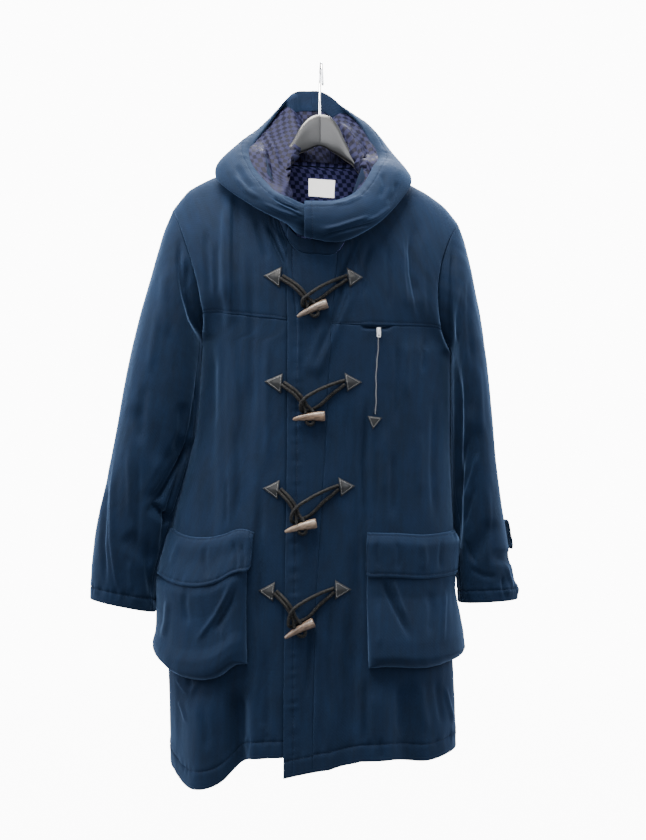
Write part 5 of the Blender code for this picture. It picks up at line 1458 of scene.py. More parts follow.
# Bleached cotton tape in plain weave. It glows a little: painted light, which keeps it white in the
# hood's shade.
tape, tree, shader = finish(
    "woven_white_tape_painted_glow", Roughness=0.62, Emission_Color=colour("#fffdf8"), Emission_Strength=1.5
)
WEAVE_MM = 1000 / 1400
weave = squares(tree, shader, cloth_place(tree), WEAVE_MM, "#fbfaf7", "#f0eeea")
bumped(tree, shader, weave, 0.3, 0.0002)
piece = cut(rear, LABEL_ROWS, LABEL_COLS, pitch=1.8, **ALL_FREE)
relief = 0.35 * unrest(piece["first"], piece["bottom"], 9.0, 12.0, 87)
made = shell("tape_label", piece, 1, tape, thick=0.6, lift=LINING_LIFT + 4.0, relief=relief)
hang(made, piece, "label_tape", "stretched", ["satin_neck"], "neck_label")

# ---- pockets --------------------------------------------------------------------
# Bellows pockets of the shell cloth, their sides folded in, under wide flaps that are
# sewn above them and stitched round 6 mm from their edges.

POCKET_LEFT_CREASES = (
    (((-140, -837), (-153, -869), (-168, -897), (-184, -919), (-202, -943)), 7, 6, 3.9, 1.6),
    (((-132, -843), (-143, -875), (-159, -904), (-175, -926)), 5, 10, -4.3, 1.3),
    (((-129, -919), (-123, -938), (-116, -961)), 5, 5, 3.5, 1.6),
    (((-159, -918), (-154, -937)), 4, 4, 2.5, 1.6),
    (((-216, -853), (-219, -881), (-214, -919)), 9, 9, -3.0),
    (((-248, -872), (-251, -912), (-259, -943)), 8, 9, 3.0),
)
POCKET_RIGHT_CREASES = (
    (((94, -834), (105, -862), (120, -891), (131, -913), (143, -938)), 8, 11, -5.3, 1.4),
    (((112, -837), (123, -872), (135, -904)), 6, 6, 3.5, 1.3),
    (((90, -872), (93, -913), (90, -951)), 6, 8, 2.8),
    (((172, -856), (178, -894), (172, -935)), 12, 12, -3.0),
    (((200, -856), (197, -904), (194, -948)), 7, 6, 3.0, 1.3),
)
FLAP_CREASES = (
    (((-141, -779), (-135, -805), (-136, -831)), 4, 4, -3.2, 1.6),
    (((-127, -782), (-123, -804), (-126, -828)), 4, 4, -3.5, 1.6),
    (((-184, -782), (-187, -812), (-181, -840)), 8, 8, -2.5),
    (((-227, -777), (-237, -802), (-243, -824)), 8, 8, 1.4),
    (((121, -777), (124, -809), (121, -828)), 8, 8, -2.5),
    (((162, -777), (166, -809), (162, -831)), 9, 8, 2.5),
    (((90, -777), (88, -802), (91, -824)), 6, 6, -2.3),
    (((194, -777), (191, -809), (192, -831)), 6, 6, -2.3),
)
# How far the bags stand out: height as t, depth
LEFT_DEPTH = (
    (0.22, 18), (0.262, 24), (0.285, 24), (0.31, 19), (0.33, 18), (0.38, 17), (0.43, 20),
    (0.515, 7),
)
RIGHT_DEPTH = ((0.225, 14), (0.25, 22), (0.29, 20), (0.344, 14), (0.396, 7), (0.53, 8))
FLAP_T = np.array((0.557, 0.545, 0.532, 0.503, 0.475, 0.449))
# The bags' cloth, and its distance from the front under it
POCKET_CLOTH, POCKET_SEAT = 1.8, 1.0
# How far from their edges the bag's mouth, the flap's edges and its seam are stitched
MOUTH_STITCH, FLAP_STITCH, FLAP_SEAM = 14.0, 6.0, 5.0
# Millimetres in one column of a front, and in one whole of t
COLUMN_MM, T_MM = 17.0, 670


def measured(surface, cols):
    """A surface measured closely with its normals, to lay pieces on."""
    rows = np.arange(0, 15.01, 0.1)
    cols = np.arange(0, cols + 0.01, 0.2)
    grid = np.array([surface(row, cols) for row in rows])
    return grid, normals_of(grid, 1)


def laid(under, row, col, lift):
    """Points over a measured surface, at its rows and columns."""
    row, col = together(np.asarray(row, float) / 0.1, np.asarray(col, float) / 0.2)
    i = np.clip(row.astype(int), 0, under[0].shape[0] - 2)
    j = np.clip(col.astype(int), 0, under[0].shape[1] - 2)
    u, v = (row - i)[..., None], (col - j)[..., None]

    def at(k, grid):
        return grid[k, j] * (1 - v) + grid[k, j + 1] * v

    spot, out = [at(i, grid) * (1 - u) + at(i + 1, grid) * u for grid in under]
    return spot + unit(out) * np.asarray(lift, float)[..., None]


def rolled(share):
    """A rounded step from 0 to 1."""
    return np.sqrt(1.0 - (1.0 - np.clip(share, 0.0, 1.0)) ** 2)


def bag_surface(under, table, cols, bottoms, top, soft):
    """v runs up from the fold at the bottom to the mouth, and u across, with soft sides."""

    def at(v, u):
        u = u - 0.96 * np.sin(2 * np.pi * u) / (2 * np.pi)
        v = v - 0.96 * math.sin(math.pi * v) / math.pi
        low = bottoms[0] + (bottoms[1] - bottoms[0]) * u
        t = low + (top - low) * v
        from_fold = rolled(v * (top - low) * T_MM / 9.0)
        across = (cols[1] - cols[0]) * COLUMN_MM
        from_side = rolled(np.minimum(u / soft[0], (1 - u) / soft[1]) * across)
        share = np.minimum(from_fold, from_side)
        lift = POCKET_SEAT + (straight(table, 1, t) - POCKET_SEAT) * share
        row = np.interp(t, ROW_T, range(16))
        return laid(under, row, cols[0] + (cols[1] - cols[0]) * u, lift)

    return at


def flap_surface(under, table, cols, heights, end_share, dip):
    """v runs up from the free edge to the seam, and u across."""
    clear = straight(table, 1, heights) + 0.9
    clear[:2] = POCKET_SEAT, 5.2

    def at(v, u):
        across = (cols[1] - cols[0]) * COLUMN_MM
        corner = 1.0 - rolled(np.minimum(u, 1 - u) * across / 12.0)
        down = (1.0 - v) * (1.0 - 0.13 * corner)
        key = down * 5
        t = np.interp(key, range(6), heights)
        col = cols[0] + (cols[1] - cols[0]) * u
        last = np.clip((col - cols[1] + 2.2) / 2.2, 0.0, 1.0)
        t = t - dip * np.interp(key, range(6), (1.0, 0.8, 0.5, 0.2, 0.0, 0.0)) * last
        full = np.interp(u, (0.0, 0.05, 0.93, 1.0), (end_share[0], 1.0, 1.0, end_share[1]))
        seat = smooth(range(6), clear, key)
        row = np.interp(t, ROW_T, range(16))
        return laid(under, row, col, POCKET_SEAT + (seat - POCKET_SEAT) * full + CLOTH)

    return at


left_under = measured(left_front, 10)
right_under = measured(right_front, 12)
# Each bag: depths, columns, its bottom's t at either side, its top's t, how soft its sides
# are, and creases. Each flap: columns, t of its rows, how high its ends sit, and how far
# its last corner dips.
BAGS = {
    "left": (LEFT_DEPTH, (0.26, 7.95), (0.264, 0.228), 0.515, (6, 24), POCKET_LEFT_CREASES),
    "right": (RIGHT_DEPTH, (3.62, 11.6), (0.225, 0.228), 0.522, (24, 6), POCKET_RIGHT_CREASES),
}
FLAPS = {
    "left": ((0.06, 8.65), FLAP_T, (0.65, 0.6), 0.016),
    "right": ((3.46, 11.75), FLAP_T - 0.006, (0.8, 0.5), 0.0),
}
for side_name, under in (("left", left_under), ("right", right_under)):
    *shape, creases = BAGS[side_name]
    surface = bag_surface(under, *shape)
    piece = cut(surface, (0, 1), (0, 1), pitch=3.4, top=near(FREE, MOUTH_STITCH))
    inward = ease((np.minimum(piece["first"], piece["last"]) - 16.0) / 14.0)
    inward = inward * ease((piece["bottom"] - 12.0) / 14.0)
    made = shell(
        f"cloth_pocket_{side_name}", piece, 1, NAVY, thick=POCKET_CLOTH,
        relief=creased(piece, creases) * inward + drape(piece, 91),
        stitched=(("top", MOUTH_STITCH, 0.3),), inside=NAVY_INNER,
    )
    hang(made, piece, "navy_cloth", "folded", [f"cloth_front_{side_name}"], f"pocket_{side_name}")
    surface = flap_surface(under, BAGS[side_name][0], *FLAPS[side_name])
    edge = near(FREE, FLAP_STITCH)
    ends = {"bottom": edge, "top": near(SEWN, FLAP_SEAM), "first": edge, "last": edge}
    piece = cut(surface, (0, 1), (0, 1), pitch=3.2, **ends)
    lines = [("bottom", FLAP_STITCH, 0.6), ("first", FLAP_STITCH, 0.35)]
    lines += [("last", FLAP_STITCH, 0.35), ("top", FLAP_SEAM, 0.25)]
    made = shell(
        f"cloth_flap_{side_name}", piece, 1, NAVY, sewn=("top",),
        relief=creased(piece, FLAP_CREASES) + 1.2 * drape(piece, 95),
        stitched=lines, inside=NAVY_INNER,
    )
    hang(made, piece, "navy_cloth", "hung", [f"cloth_front_{side_name}"], f"flap_{side_name}")

# ---- cuff straps ------------------------------------------------------------------
# A strap of doubled shell cloth at the back of each cuff; the right one's end stands off.

# How each strap leaves its sleeve: column of the sleeve's ring, and height over it
STRAPS = {
    -1: ((10.3, 0.5), (9.95, 0.5), (9.6, 0.5), (9.3, 0.5), (9.0, 0.5)),
    1: ((9.75, 0.5), (9.0, 0.6), (8.5, 0.9), (8.0, 2.2), (7.75, 5.0)),
}
RING_ANGLES = np.concatenate([ARM_ANGLES, math.tau - ARM_ANGLES[-2:0:-1]])


def strap_surface(sign):
    """v runs down the sleeve over the strap's width, and u along it to its free end."""
    table = STRAPS[sign]
    keys = np.linspace(0, 1, 5)

    def at(v, u):
        place = np.interp(u, keys, column(table, 0))
        angle = np.interp(place, range(len(RING_ANGLES)), RING_ANGLES)
        lift = smooth(keys, column(table, 1), u) + CLOTH + 1.2
        tip = 0.16 * (1.0 - rolled((1.0 - u) * 5.0))
        ring = 8.85 + 0.75 * (tip + v * (1.0 - 2 * tip))
        points = sleeve(sign, angle, ring)
        across = sleeve(sign, angle + 0.02, ring) - sleeve(sign, angle - 0.02, ring)
        down = sleeve(sign, angle, ring + 0.05) - sleeve(sign, angle, ring - 0.05)
        return points - unit(np.cross(across, down)) * sign * lift[..., None]

    return at


STRAP_STITCHES = {"bottom": 4.0, "top": 4.0, "last": 5.0}
for side_name, sign in SIGNS.items():
    ends = {edge: near(FREE, line) for edge, line in STRAP_STITCHES.items()}
    piece = cut(strap_surface(sign), (0, 1), (0, 1), pitch=2.4, **ends)
    lines = [(edge, line, 0.15) for edge, line in STRAP_STITCHES.items()]
    made = shell(f"cloth_strap_{side_name}", piece, sign, NAVY, stitched=lines)
    sleeve_top = f"cloth_sleeve_{side_name}_top"
    hang(made, piece, "navy_cloth", "stretched", [sleeve_top], f"tab_{side_name}")

# ---- toggles --------------------------------------------------------------------
# Four fastenings: leather triangles sewn round their edges, a pair of braided cords
# from the left one through a drilled horn, and a cord loop from the right one over it.

HORN_FORM = (
    (0.0, 0.16), (0.025, 0.3), (0.1, 0.42), (0.3, 0.6), (0.6, 0.82), (0.92, 1.0), (0.985, 0.97),
    (1.0, 0.86),
)
# Places in the front view: left patch's tip and base, right patch's base and tip, horn's
# tip and butt, and where the loop crosses over the pair
TOGGLES = (
    ((-92.5, -356.4), (-63.8, -341.8), (-66.8, -376.0), (40.4, -343.0), (45.4, -375.4),
     (66.7, -358.8), (-38.8, -422.9), (9.4, -401.5), (-21.7, -389.0)),
    ((-91.2, -525.5), (-62.0, -512.7), (-64.4, -545.1), (36.8, -511.5), (41.1, -542.1),
     (64.8, -526.8), (-45.5, -586.2), (5.7, -580.9), (-25.9, -552.5)),
    ((-93.6, -695.8), (-66.7, -682.5), (-69.9, -713.5), (27.0, -678.2), (31.1, -709.2),
     (53.7, -692.2), (-58.3, -764.6), (-7.8, -750.6), (-38.9, -725.5)),
    ((-100.7, -858.5), (-74.0, -844.5), (-76.8, -876.0), (21.7, -841.5), (21.7, -872.5),
     (48.0, -856.7), (-58.2, -932.4), (-11.8, -907.3), (-43.3, -885.5)),
)
CORD_MM, HOLE_MM, HORN_WIDE = 5.5, 6.2, 15.6
# The horn's length for its roughness, how far it sags between tip and butt, and where
# along it the holes are
HORN_LONG, HORN_SAG = 46, 1.6
HOLE_SHARES = (0.63, 0.42)
# The patches' thickness over the cord ends, and half the distances between the strands
PATCH_DOME = 4.2
PAIR_HALF, LOOP_HALF = 2.9, 3.0
# How the strands arch over the cloth: share of the way, arch upwards, height over the cloth
PAIR_ARCH = (
    (0.0, 0.0, 3.4), (0.12, 1.6, 5.0), (0.35, 4.4, 7.6), (0.62, 4.4, 8.6), (0.85, 1.6, 9.0)
)
LOOP_OVER = ((0.15, 1.0, 4.4), (0.45, 2.0, 8.5), (0.75, 0.8, 12.2))
LOOP_UNDER = ((0.5, 2.6, 3.0), (0.15, 0.4, 3.2), (0.0, 0.0, 3.4))
# Light, dark and edge colour of each horn, and how strongly it is streaked
HORNS = (
    ("#54483f", "#30271f", "#372c24", 0.6),
    ("#564537", "#37281c", "#281c13", 0.5),
    ("#5f5145", "#43362a", "#31251a", 0.7),
    ("#514236", "#2b1e15", "#1b120c", 0.8),
)

front_cloth = caster([*fronts, lap_piece])
THREADS = []


def cloth_y(x, z):
    """The cloth's front face at this place of the front view."""
    return front_cloth.ray_cast(Vector((x, -400.0, z)), Vector((0, 1, 0)))[0].y


def rest_y(x, z):
    """The foremost cloth close by, which a cord or a horn lies on."""
    return min(cloth_y(x + dx, z + dz) for dx, dz in ((0, 0), (-4, 0), (4, 0), (0, -4), (0, 4)))


def over_cloth(points):
    """Points given as x, z and a height above the cloth."""
    return np.array([(x, rest_y(x, z) - height, z) for x, z, height in points])


def keep(made, slot, *nodes):
    """Hides the parts that a piece which isn't a sheet replaces, and hangs it on the coat."""
    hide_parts(*nodes)
    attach(made, "coat")


def solid(name, points, faces, made_of, place=None):
    """A mesh from points in millimetres; place gives each point its place on the material."""
    mesh = bpy.data.meshes.new(name)
    mesh.from_pydata((np.asarray(points) * MM).tolist(), [], faces)
    if place is not None:
        corners = np.concatenate([polygon.vertices[:] for polygon in mesh.polygons])
        places = (place[corners] * MM).ravel().astype(np.float32)
        mesh.uv_layers.new(name="cloth").data.foreach_set("uv", places)
    mesh.materials.append(made_of)
    mesh.polygons.foreach_set("use_smooth", np.ones(len(mesh.polygons), bool))
    return linked(bpy.data.objects.new(name, mesh))


def loft(name, rings, made_of):
    """A closed solid through rings of points, mapped by its length and its turn."""
    rings = np.asarray(rings)
    count, around = rings.shape[:2]
    i, k = np.meshgrid(np.arange(count - 1), np.arange(around), indexing="ij")
    a, b = (i * around + k).ravel(), (i * around + (k + 1) % around).ravel()
    faces = np.stack([a, b, b + around, a + around], axis=1).tolist()
    faces += [list(range(around))[::-1], [(count - 1) * around + k for k in range(around)]]
    along = run(rings.mean(axis=1))
    girth = float(np.linalg.norm(np.diff(rings, axis=1), axis=-1).sum(axis=1).max())
    place = np.stack(np.meshgrid(along, np.arange(around) / around * girth, indexing="ij"), axis=-1)
    return solid(name, rings.reshape(-1, 3), faces, made_of, place.reshape(-1, 2))


def tube_rings(path, radii, around):
    """Rings square to a path, turned as little as possible from one to the next."""
    path = np.asarray(path, float)
    along = unit(np.gradient(path, axis=0))
    aside = unit(np.cross(along[0], (0.0, 0.3, 1.0)))
    turns = np.arange(around) * math.tau / around
    rings = []
    for k, (point, way) in enumerate(zip(path, along)):
        aside = unit(aside - way * aside.dot(way))
        other = np.cross(way, aside)
        radius = np.broadcast_to(radii[k], (around,))
        circle = np.outer(np.cos(turns), aside) + np.outer(np.sin(turns), other)
        rings.append(point + radius[:, None] * circle)
    return np.array(rings)


def fine(path, step):
    """The smooth curve through a few points, at even short steps."""
    keys = run(np.asarray(path, float))
    line = smooth(keys, path, np.linspace(0, keys[-1], 400))
    keys = run(line)
    at = np.linspace(0, keys[-1], int(keys[-1] / step) + 2)
    return between(keys, line, at), at


# The length over which the braid's strands come round again, in millimetres
BRAID_REPEAT = 5.2


def braid(name, path, made_of):
    """A round braided cord: its strands cross in small diamonds."""
    points, along = fine(path, 0.85)
    turns = np.arange(20) * math.tau / 20
    lay = math.tau * along[:, None] / BRAID_REPEAT
    one = np.sin(4 * turns[None, :] + lay)
    two = np.sin(4 * turns[None, :] - lay)
    radii = CORD_MM / 2 * (0.96 + 0.11 * np.maximum(one, two))
    return loft(name, tube_rings(points, radii, 20), made_of)


# How far inside its edges a patch is sewn, as a share of its height
SEAM_SHARE = 0.085


def patch(name, node, tip, first, second, dome):
    """A leather triangle, domed at its base over the cord ends beneath."""
    tip, first, second = (np.array(corner, float) for corner in (tip, first, second))
    parts = 18
    index, low, high, flat = {}, [], [], []
    for i in range(parts + 1):
        for j in range(parts + 1 - i):
            a, b = i / parts, j / parts
            x, z = tip * (1 - a - b) + first * a + second * b
            index[i, j] = len(low)
            base = a + b
            middle = 1.0 - abs(a - b) / max(base, 1e-6)
            rise = 1.5 + dome * float(ease(base * 1.3 - 0.2)) * middle**0.7
            edge = min(a, b, 1 - a - b)
            rise -= 0.9 * float(1 - ease(edge / 0.05)) + 0.35 * hump((edge - SEAM_SHARE) / 0.025)
            seat = rest_y(x, z) - 0.2
            low.append((x, seat + 0.3, z))
            high.append((x, seat - rise, z))
            flat.append((x, z))
    count = len(low)
    faces = []
    for i in range(parts):
        for j in range(parts - i):
            tiles = [[index[i, j], index[i + 1, j], index[i, j + 1]]]
            if i + j < parts - 1:
                tiles.append([index[i + 1, j], index[i + 1, j + 1], index[i, j + 1]])
            for tile in tiles:
                faces += [tile, [count + k for k in tile[::-1]]]
    rim = [(i, 0) for i in range(parts)] + [(parts - j, j) for j in range(parts)]
    rim = [index[key] for key in rim + [(0, parts - i) for i in range(parts)]]
    for a, b in zip(rim, rim[1:] + rim[:1]):
        faces.append([a, count + a, count + b, b])
    made = solid(name, low + high, faces, LEATHER, np.array(flat + flat))
    keep(made, "leather", node)
    face = np.array(high)
    far = 1.0 - 2.0 * SEAM_SHARE
    inset = [(far, SEAM_SHARE), (SEAM_SHARE, far), (SEAM_SHARE, SEAM_SHARE), (far, SEAM_SHARE)]
    for (a0, b0), (a1, b1) in zip(inset, inset[1:]):
        line = []
        for share in np.linspace(0, 1, 12):
            a, b = a0 + (a1 - a0) * share, b0 + (b1 - b0) * share
            i, j = min(int(round(a * parts)), parts), min(int(round(b * parts)), parts)
            key = (i, min(j, parts - i))
            x, z = tip * (1 - a - b) + first * a + second * b
            line.append((x, face[index[key]][1] + 0.1, z))
        THREADS.append((np.array(line), np.array([(0.0, -1.0, 0.0)] * 12)))


# Cowhide, drum dyed dark grey, with a fine pebbled grain and a dull polish.
LEATHER, tree, shader = finish(
    "dark_grey_pebbled_cowhide", Roughness=0.46, IOR=1.5, Specular_IOR_Level=0.16,
)
place = add(tree, "ShaderNodeTexCoord").outputs["Object"]
tinted(tree, shader, noise(tree, place, 130.0, 4.0), colour("#0e0f10"), colour("#1d1e20"))
pebble = add(tree, "ShaderNodeTexVoronoi", {"Vector": place, "Scale": 900.0})
bumped(tree, shader, pebble.outputs["Distance"], 0.4, 0.0004)

# Waxed cotton braid, near black, with a few grey-green flecks where strands turn over.
BRAID, tree, shader = finish("waxed_cotton_braid", Roughness=0.66, Specular_IOR_Level=0.1)
place = add(tree, "ShaderNodeTexCoord").outputs["Object"]
fleck = ranged(tree, noise(tree, place, 520.0, 2.0), 0.52, 0.74)
tinted(tree, shader, fleck, colour("#080809"), colour("#2b2b29"))


def horn_material(name, light, dark, edge, streaks):
    """Polished cattle horn: pale, streaked along its length, browner along its upper edge."""
    made, tree, shader = finish(
        name, Roughness=0.33, IOR=1.54, Specular_IOR_Level=0.35, Subsurface_Weight=0.08,
        Subsurface_Radius=(0.003, 0.002, 0.001), Subsurface_Scale=0.4,
    )
    grain = noise(tree, cloth_place(tree, (0.22, 1.0, 1.0)), 330.0, 5.0, Roughness=0.65)
    share = ranged(tree, grain, 0.62 - streaks * 0.3, 0.42 + streaks * 0.22)
    mix = tinted(tree, shader, share, colour(dark), colour(light))
    patchy = ranged(tree, noise(tree, cloth_place(tree), 70.0, 3.0), 0.52, 0.66, to_high=streaks)
    tinted(tree, shader, patchy, mix, colour(edge))
    bumped(tree, shader, grain, 0.15, 0.0005)
    return made


def drilled(horn, bores):
    """Cuts round holes through a horn."""
    cutters = []
    for bore in bores:
        rings = tube_rings(bore, (HOLE_MM / 2, HOLE_MM / 2), 20)
        cutters.append(loft("bore", rings, horn.data.materials[0]))
        cut_out = horn.modifiers.new("hole", "BOOLEAN")
        cut_out.operation = "DIFFERENCE"
        cut_out.object = cutters[-1]
        cut_out.solver = "EXACT"
    bpy.context.view_layer.update()
    holed = horn.evaluated_get(bpy.context.evaluated_depsgraph_get())
    done = bpy.data.meshes.new_from_object(holed)
    horn.modifiers.clear()
    horn.data = done
    for cutter in cutters:
        bpy.data.objects.remove(cutter)


for number, places in enumerate(TOGGLES, start=1):
    left_tip, left_a, left_b, right_a, right_b, right_tip, *rest = np.array(places)
    tip, butt, crossing = rest
    patches = {"left": (left_tip, left_a, left_b), "right": (right_tip, right_a, right_b)}
    for side, corners in patches.items():
        patch(f"leather_{side}_{number}", f"patch_{side}_{number}", *corners, PATCH_DOME)

    tip_3d, middle_3d, butt_3d = over_cloth([(*tip, 8.0), (*((tip + butt) / 2), 8.9), (*butt, 9.8)])
    bulge = min(middle_3d[1] - (tip_3d[1] + butt_3d[1]) / 2, 0.0)
    tip_3d[1] += bulge
    butt_3d[1] += bulge
    line = unit(butt_3d - tip_3d)
    sag = unit(np.array((0.0, 0.0, 1.0)) - line * line[2])
    along = np.concatenate(
        [[0, 0.004, 0.012], np.linspace(0.03, 0.965, 34), [0.978, 0.988, 0.995, 1.0]]
    )
    half = straight(HORN_FORM, 1, along)
    half = np.convolve(np.pad(half, 2, "edge"), np.ones(5) / 5, "valid")
    half[-4:] = half[-5] * np.array((0.985, 0.95, 0.89, 0.8))
    half[:3] = (0.05, 0.15, 0.24)
    spine = tip_3d + (butt_3d - tip_3d) * along[:, None]
    spine = spine + sag * (HORN_SAG * np.sin(np.pi * along))[:, None]
    turns = np.arange(30) * math.tau / 30
    uneven = 1.0 + 0.05 * np.cos(2 * turns + number) + 0.03 * np.cos(3 * turns - 2 * number)
    rough = ripple(along * HORN_LONG, 4.0, number)[:, None] * np.cos(turns * 2 + 1)
    radii = half[:, None] * HORN_WIDE / 2 * uneven * (1.0 + 0.015 * rough)
    if number == 3:
        # This horn's upper edge is notched.
        notches = ripple(along * HORN_LONG, 2.4, 9)[:, None] > 0.35
        radii = radii * (1.0 - 0.07 * notches * (np.sin(turns) > 0.75))
    cattle_horn = horn_material(f"cattle_horn_{number}", *HORNS[number - 1])
    horn = loft(f"polished_horn_{number}", tube_rings(spine, radii, 30), cattle_horn)
    across = unit(np.cross(line, (0.0, 1.0, 0.0)))
    across = across if across[2] > 0 else -across
    ends, bores = [], []
    for share in HOLE_SHARES:
        middle = tip_3d + (butt_3d - tip_3d) * share + sag * HORN_SAG * math.sin(math.pi * share)
        radius = HORN_WIDE / 2 * float(straight(HORN_FORM, 1, share))
        bores.append([middle - across * (radius + 4), middle + across * (radius + 4)])
        ends.append((middle + across * (radius + 2.0), middle, middle - across * (radius + 2.0)))
    drilled(horn, bores)
    keep(horn, "horn", f"horn_{number}")

    base = (left_a + left_b) / 2 + np.array((1.4, 0.0))
    goal = ((ends[0][0] + ends[1][0]) / 2)[[0, 2]]
    way = goal - base
    aside = unit(np.array((-way[1], way[0])))
    strands = []
    for half, hole in ((PAIR_HALF, ends[0]), (-PAIR_HALF, ends[1])):
        spots = []
        for share, arch, height in PAIR_ARCH:
            spots.append((*(base + way * share + aside * (half + arch)), height))
        strands.append(list(over_cloth(spots)) + list(hole))
    lowest = (ends[0][2] + ends[1][2]) / 2 - across * 4.6
    one = ends[0][2] * 0.82 + ends[1][2] * 0.18 - across * 3.2
    two = ends[0][2] * 0.18 + ends[1][2] * 0.82 - across * 3.2
    pair = np.array(strands[0] + [one, lowest, two] + strands[1][::-1])
    keep(braid(f"braided_pair_{number}", pair, BRAID), "cord", f"cord_{number}")

    start = (right_a + right_b) / 2 - np.array((1.4, 0.0))
    toward = unit(across[[0, 2]])
    leftwards = np.array((-toward[1], toward[0]))
    beside = ends[1][0][[0, 2]]
    hook = beside + toward * 4.0 + leftwards * 6.6
    turning = beside + toward * 1.6 + leftwards * 3.4
    under = (ends[0][0] + ends[1][0])[[0, 2]] / 2 + toward * 2.0
    away = under + np.array((15.0, 7.0))
    spots = [(*(start + np.array((0.0, LOOP_HALF))), 3.4)]
    for share, arch, height in LOOP_OVER:
        up = np.array((0.0, LOOP_HALF + arch))
        spots.append((*(start + (crossing - start) * share + up), height))
    rounding = (crossing + hook) / 2 + np.array((-3.5, 1.5))
    spots += [(*crossing, 14.4), (*rounding, 13.2), (*hook, 8.4)]
    spots += [(*turning, 3.6), (*under, 2.9), (*away, 2.9)]
    for share, arch, height in LOOP_UNDER:
        down = np.array((0.0, LOOP_HALF - arch))
        spots.append((*(start + (away - start) * share - down), height))
    keep(braid(f"braided_loop_{number}", over_cloth(spots), BRAID), "cord", f"loop_{number}")

# ---- chest zip --------------------------------------------------------------------
# A fine steel zip down from the yoke seam: cast slider and pull tab as they are, stamped
# teeth on a navy tape, and a leather triangle sewn over its lower end.

# The chain's ends in the front view, and how many teeth it has
ZIP_TOP, ZIP_END = np.array((91.0, -441.0)), np.array((85.5, -577.0))
TEETH = 96
# The tape's section: across, and height over the cloth
TAPE = ((-3.4, 0.2), (-3.0, 0.55), (-1.5, 0.6), (1.5, 0.6), (3.0, 0.55), (3.4, 0.2))
# Steel, tumbled and nickel plated: a bright white metal with small soft scratches.
STEEL, tree, shader = finish(
    "nickel_plated_steel", Base_Color=colour("#d2d3d4"), Metallic=1.0, Roughness=0.24,
)
place = add(tree, "ShaderNodeTexCoord").outputs["Object"]
dull = ranged(tree, noise(tree, place, 700.0, 4.0), to_low=0.14, to_high=0.42)
tree.links.new(dull, shader.inputs["Roughness"])
for node in ("zip_slider", "zip_pull"):
    for slot_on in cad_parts[node].material_slots:
        slot_on.link = "OBJECT"
        slot_on.material = STEEL


def zip_spot(share):
    """The chain runs down slightly wavy."""
    x, z = ZIP_TOP + (ZIP_END - ZIP_TOP) * share
    return x + 0.8 * math.sin(share * 9.0) + 0.35 * math.sin(share * 31.0), z


tooth_points, tooth_faces = [], []
BLOCK = ((0, 1, 3, 2), (4, 6, 7, 5), (0, 4, 5, 1), (2, 3, 7, 6), (0, 2, 6, 4), (1, 5, 7, 3))
for k in range(TEETH):
    x, z = zip_spot(0.075 + 0.925 * k / (TEETH - 1))
    seat = cloth_y(x, z)
    side = 1 if k % 2 else -1
    base = len(tooth_points)
    for out, wide, high in ((0.0, 0.7, 0.42), (1.6, 0.5, 0.3)):
        for a in (0.4 * side - wide, 0.4 * side + wide):
            for b in (-high, high):
                tooth_points.append((x + a, seat - 0.3 - out, z + b))
    tooth_faces += [[base + v for v in face] for face in BLOCK]
# The same plating, darker and a little rougher.
DARKER_STEEL = finish("darker_nickel_teeth", Base_Color=colour("#8f9092"), Metallic=1.0, Roughness=0.38)[0]
made = solid("zip_teeth", tooth_points, tooth_faces, DARKER_STEEL)
for polygon in made.data.polygons:
    polygon.use_smooth = False
keep(made, "zip_steel", "zip_chain")
rows = []
for share in np.linspace(0.03, 1.0, 60):
    x, z = zip_spot(share)
    rows.append([(x + off, cloth_y(x + off, z) - rise, z) for off, rise in TAPE])
rows = np.array(rows)[::-1]
tape_piece = {"outer": rows, "inner": rows + np.array((0, 0.8, 0))}
tape_piece["first"] = np.array([run(row) for row in rows])
tape_piece["bottom"] = run(rows[:, 0])[:, None] + 0 * tape_piece["first"]
made = wall("zip_tape", tape_piece, 1, NAVY_INNER)
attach(made, "coat")
patch("leather_zip", "zip_patch", (82.0, -602.0), (73.7, -580.5), (97.0, -583.5), 0.7)

# ---- hanger -----------------------------------------------------------------------
# A plain wooden hanger, stained grey and lacquered satin, its two arms joined at the
# middle, each turned a little forwards; a bent chromed wire hook screwed into it.

# Across, top, underside, and half the thickness
HANGER = (
    (-204, -222, -225, 4),
    (-202, -216, -228, 8),
    (-192, -199.5, -224, 10),
    (-150, -180.5, -208, 10),
    (-112, -171, -194, 9),
    (-92, -170, -188, 8.5),
    (-74, -157, -177, 8),
    (-60, -142, -166, 8),
    (-46, -124, -153, 8),
    (-36, -105, -148, 7.5),
    (-24, -91, -143, 7),
    (-3, -83, -135, 7),
    (19, -91, -146, 7),
    (29, -105, -152, 7.5),
    (38, -125, -159, 8),
    (50, -146, -167, 8),
    (62, -166, -182, 8),
    (78, -182, -195, 8.5),
    (100, -182, -200, 9),
    (140, -200.5, -222, 10),
    (180, -225, -248, 10),
    (190, -238, -250, 8),
    (192, -243, -247, 4),
)
# Beech stained grey: the grain runs along the arms, the lacquer gives a broad soft gloss.
BEECH, tree, shader = finish("grey_stained_beech", IOR=1.5, Roughness=0.3, Specular_IOR_Level=0.7)
place = add(tree, "ShaderNodeTexCoord").outputs["Object"]
long = add(tree, "ShaderNodeMapping", {"Vector": place, "Scale": (0.25, 1.0, 1.0)}).outputs[0]
grain = noise(tree, long, 420.0, 4.0, Roughness=0.6)
tinted(tree, shader, grain, colour("#0c0d0e"), colour("#1c1d1f"))
bumped(tree, shader, grain, 0.2, 0.0003)
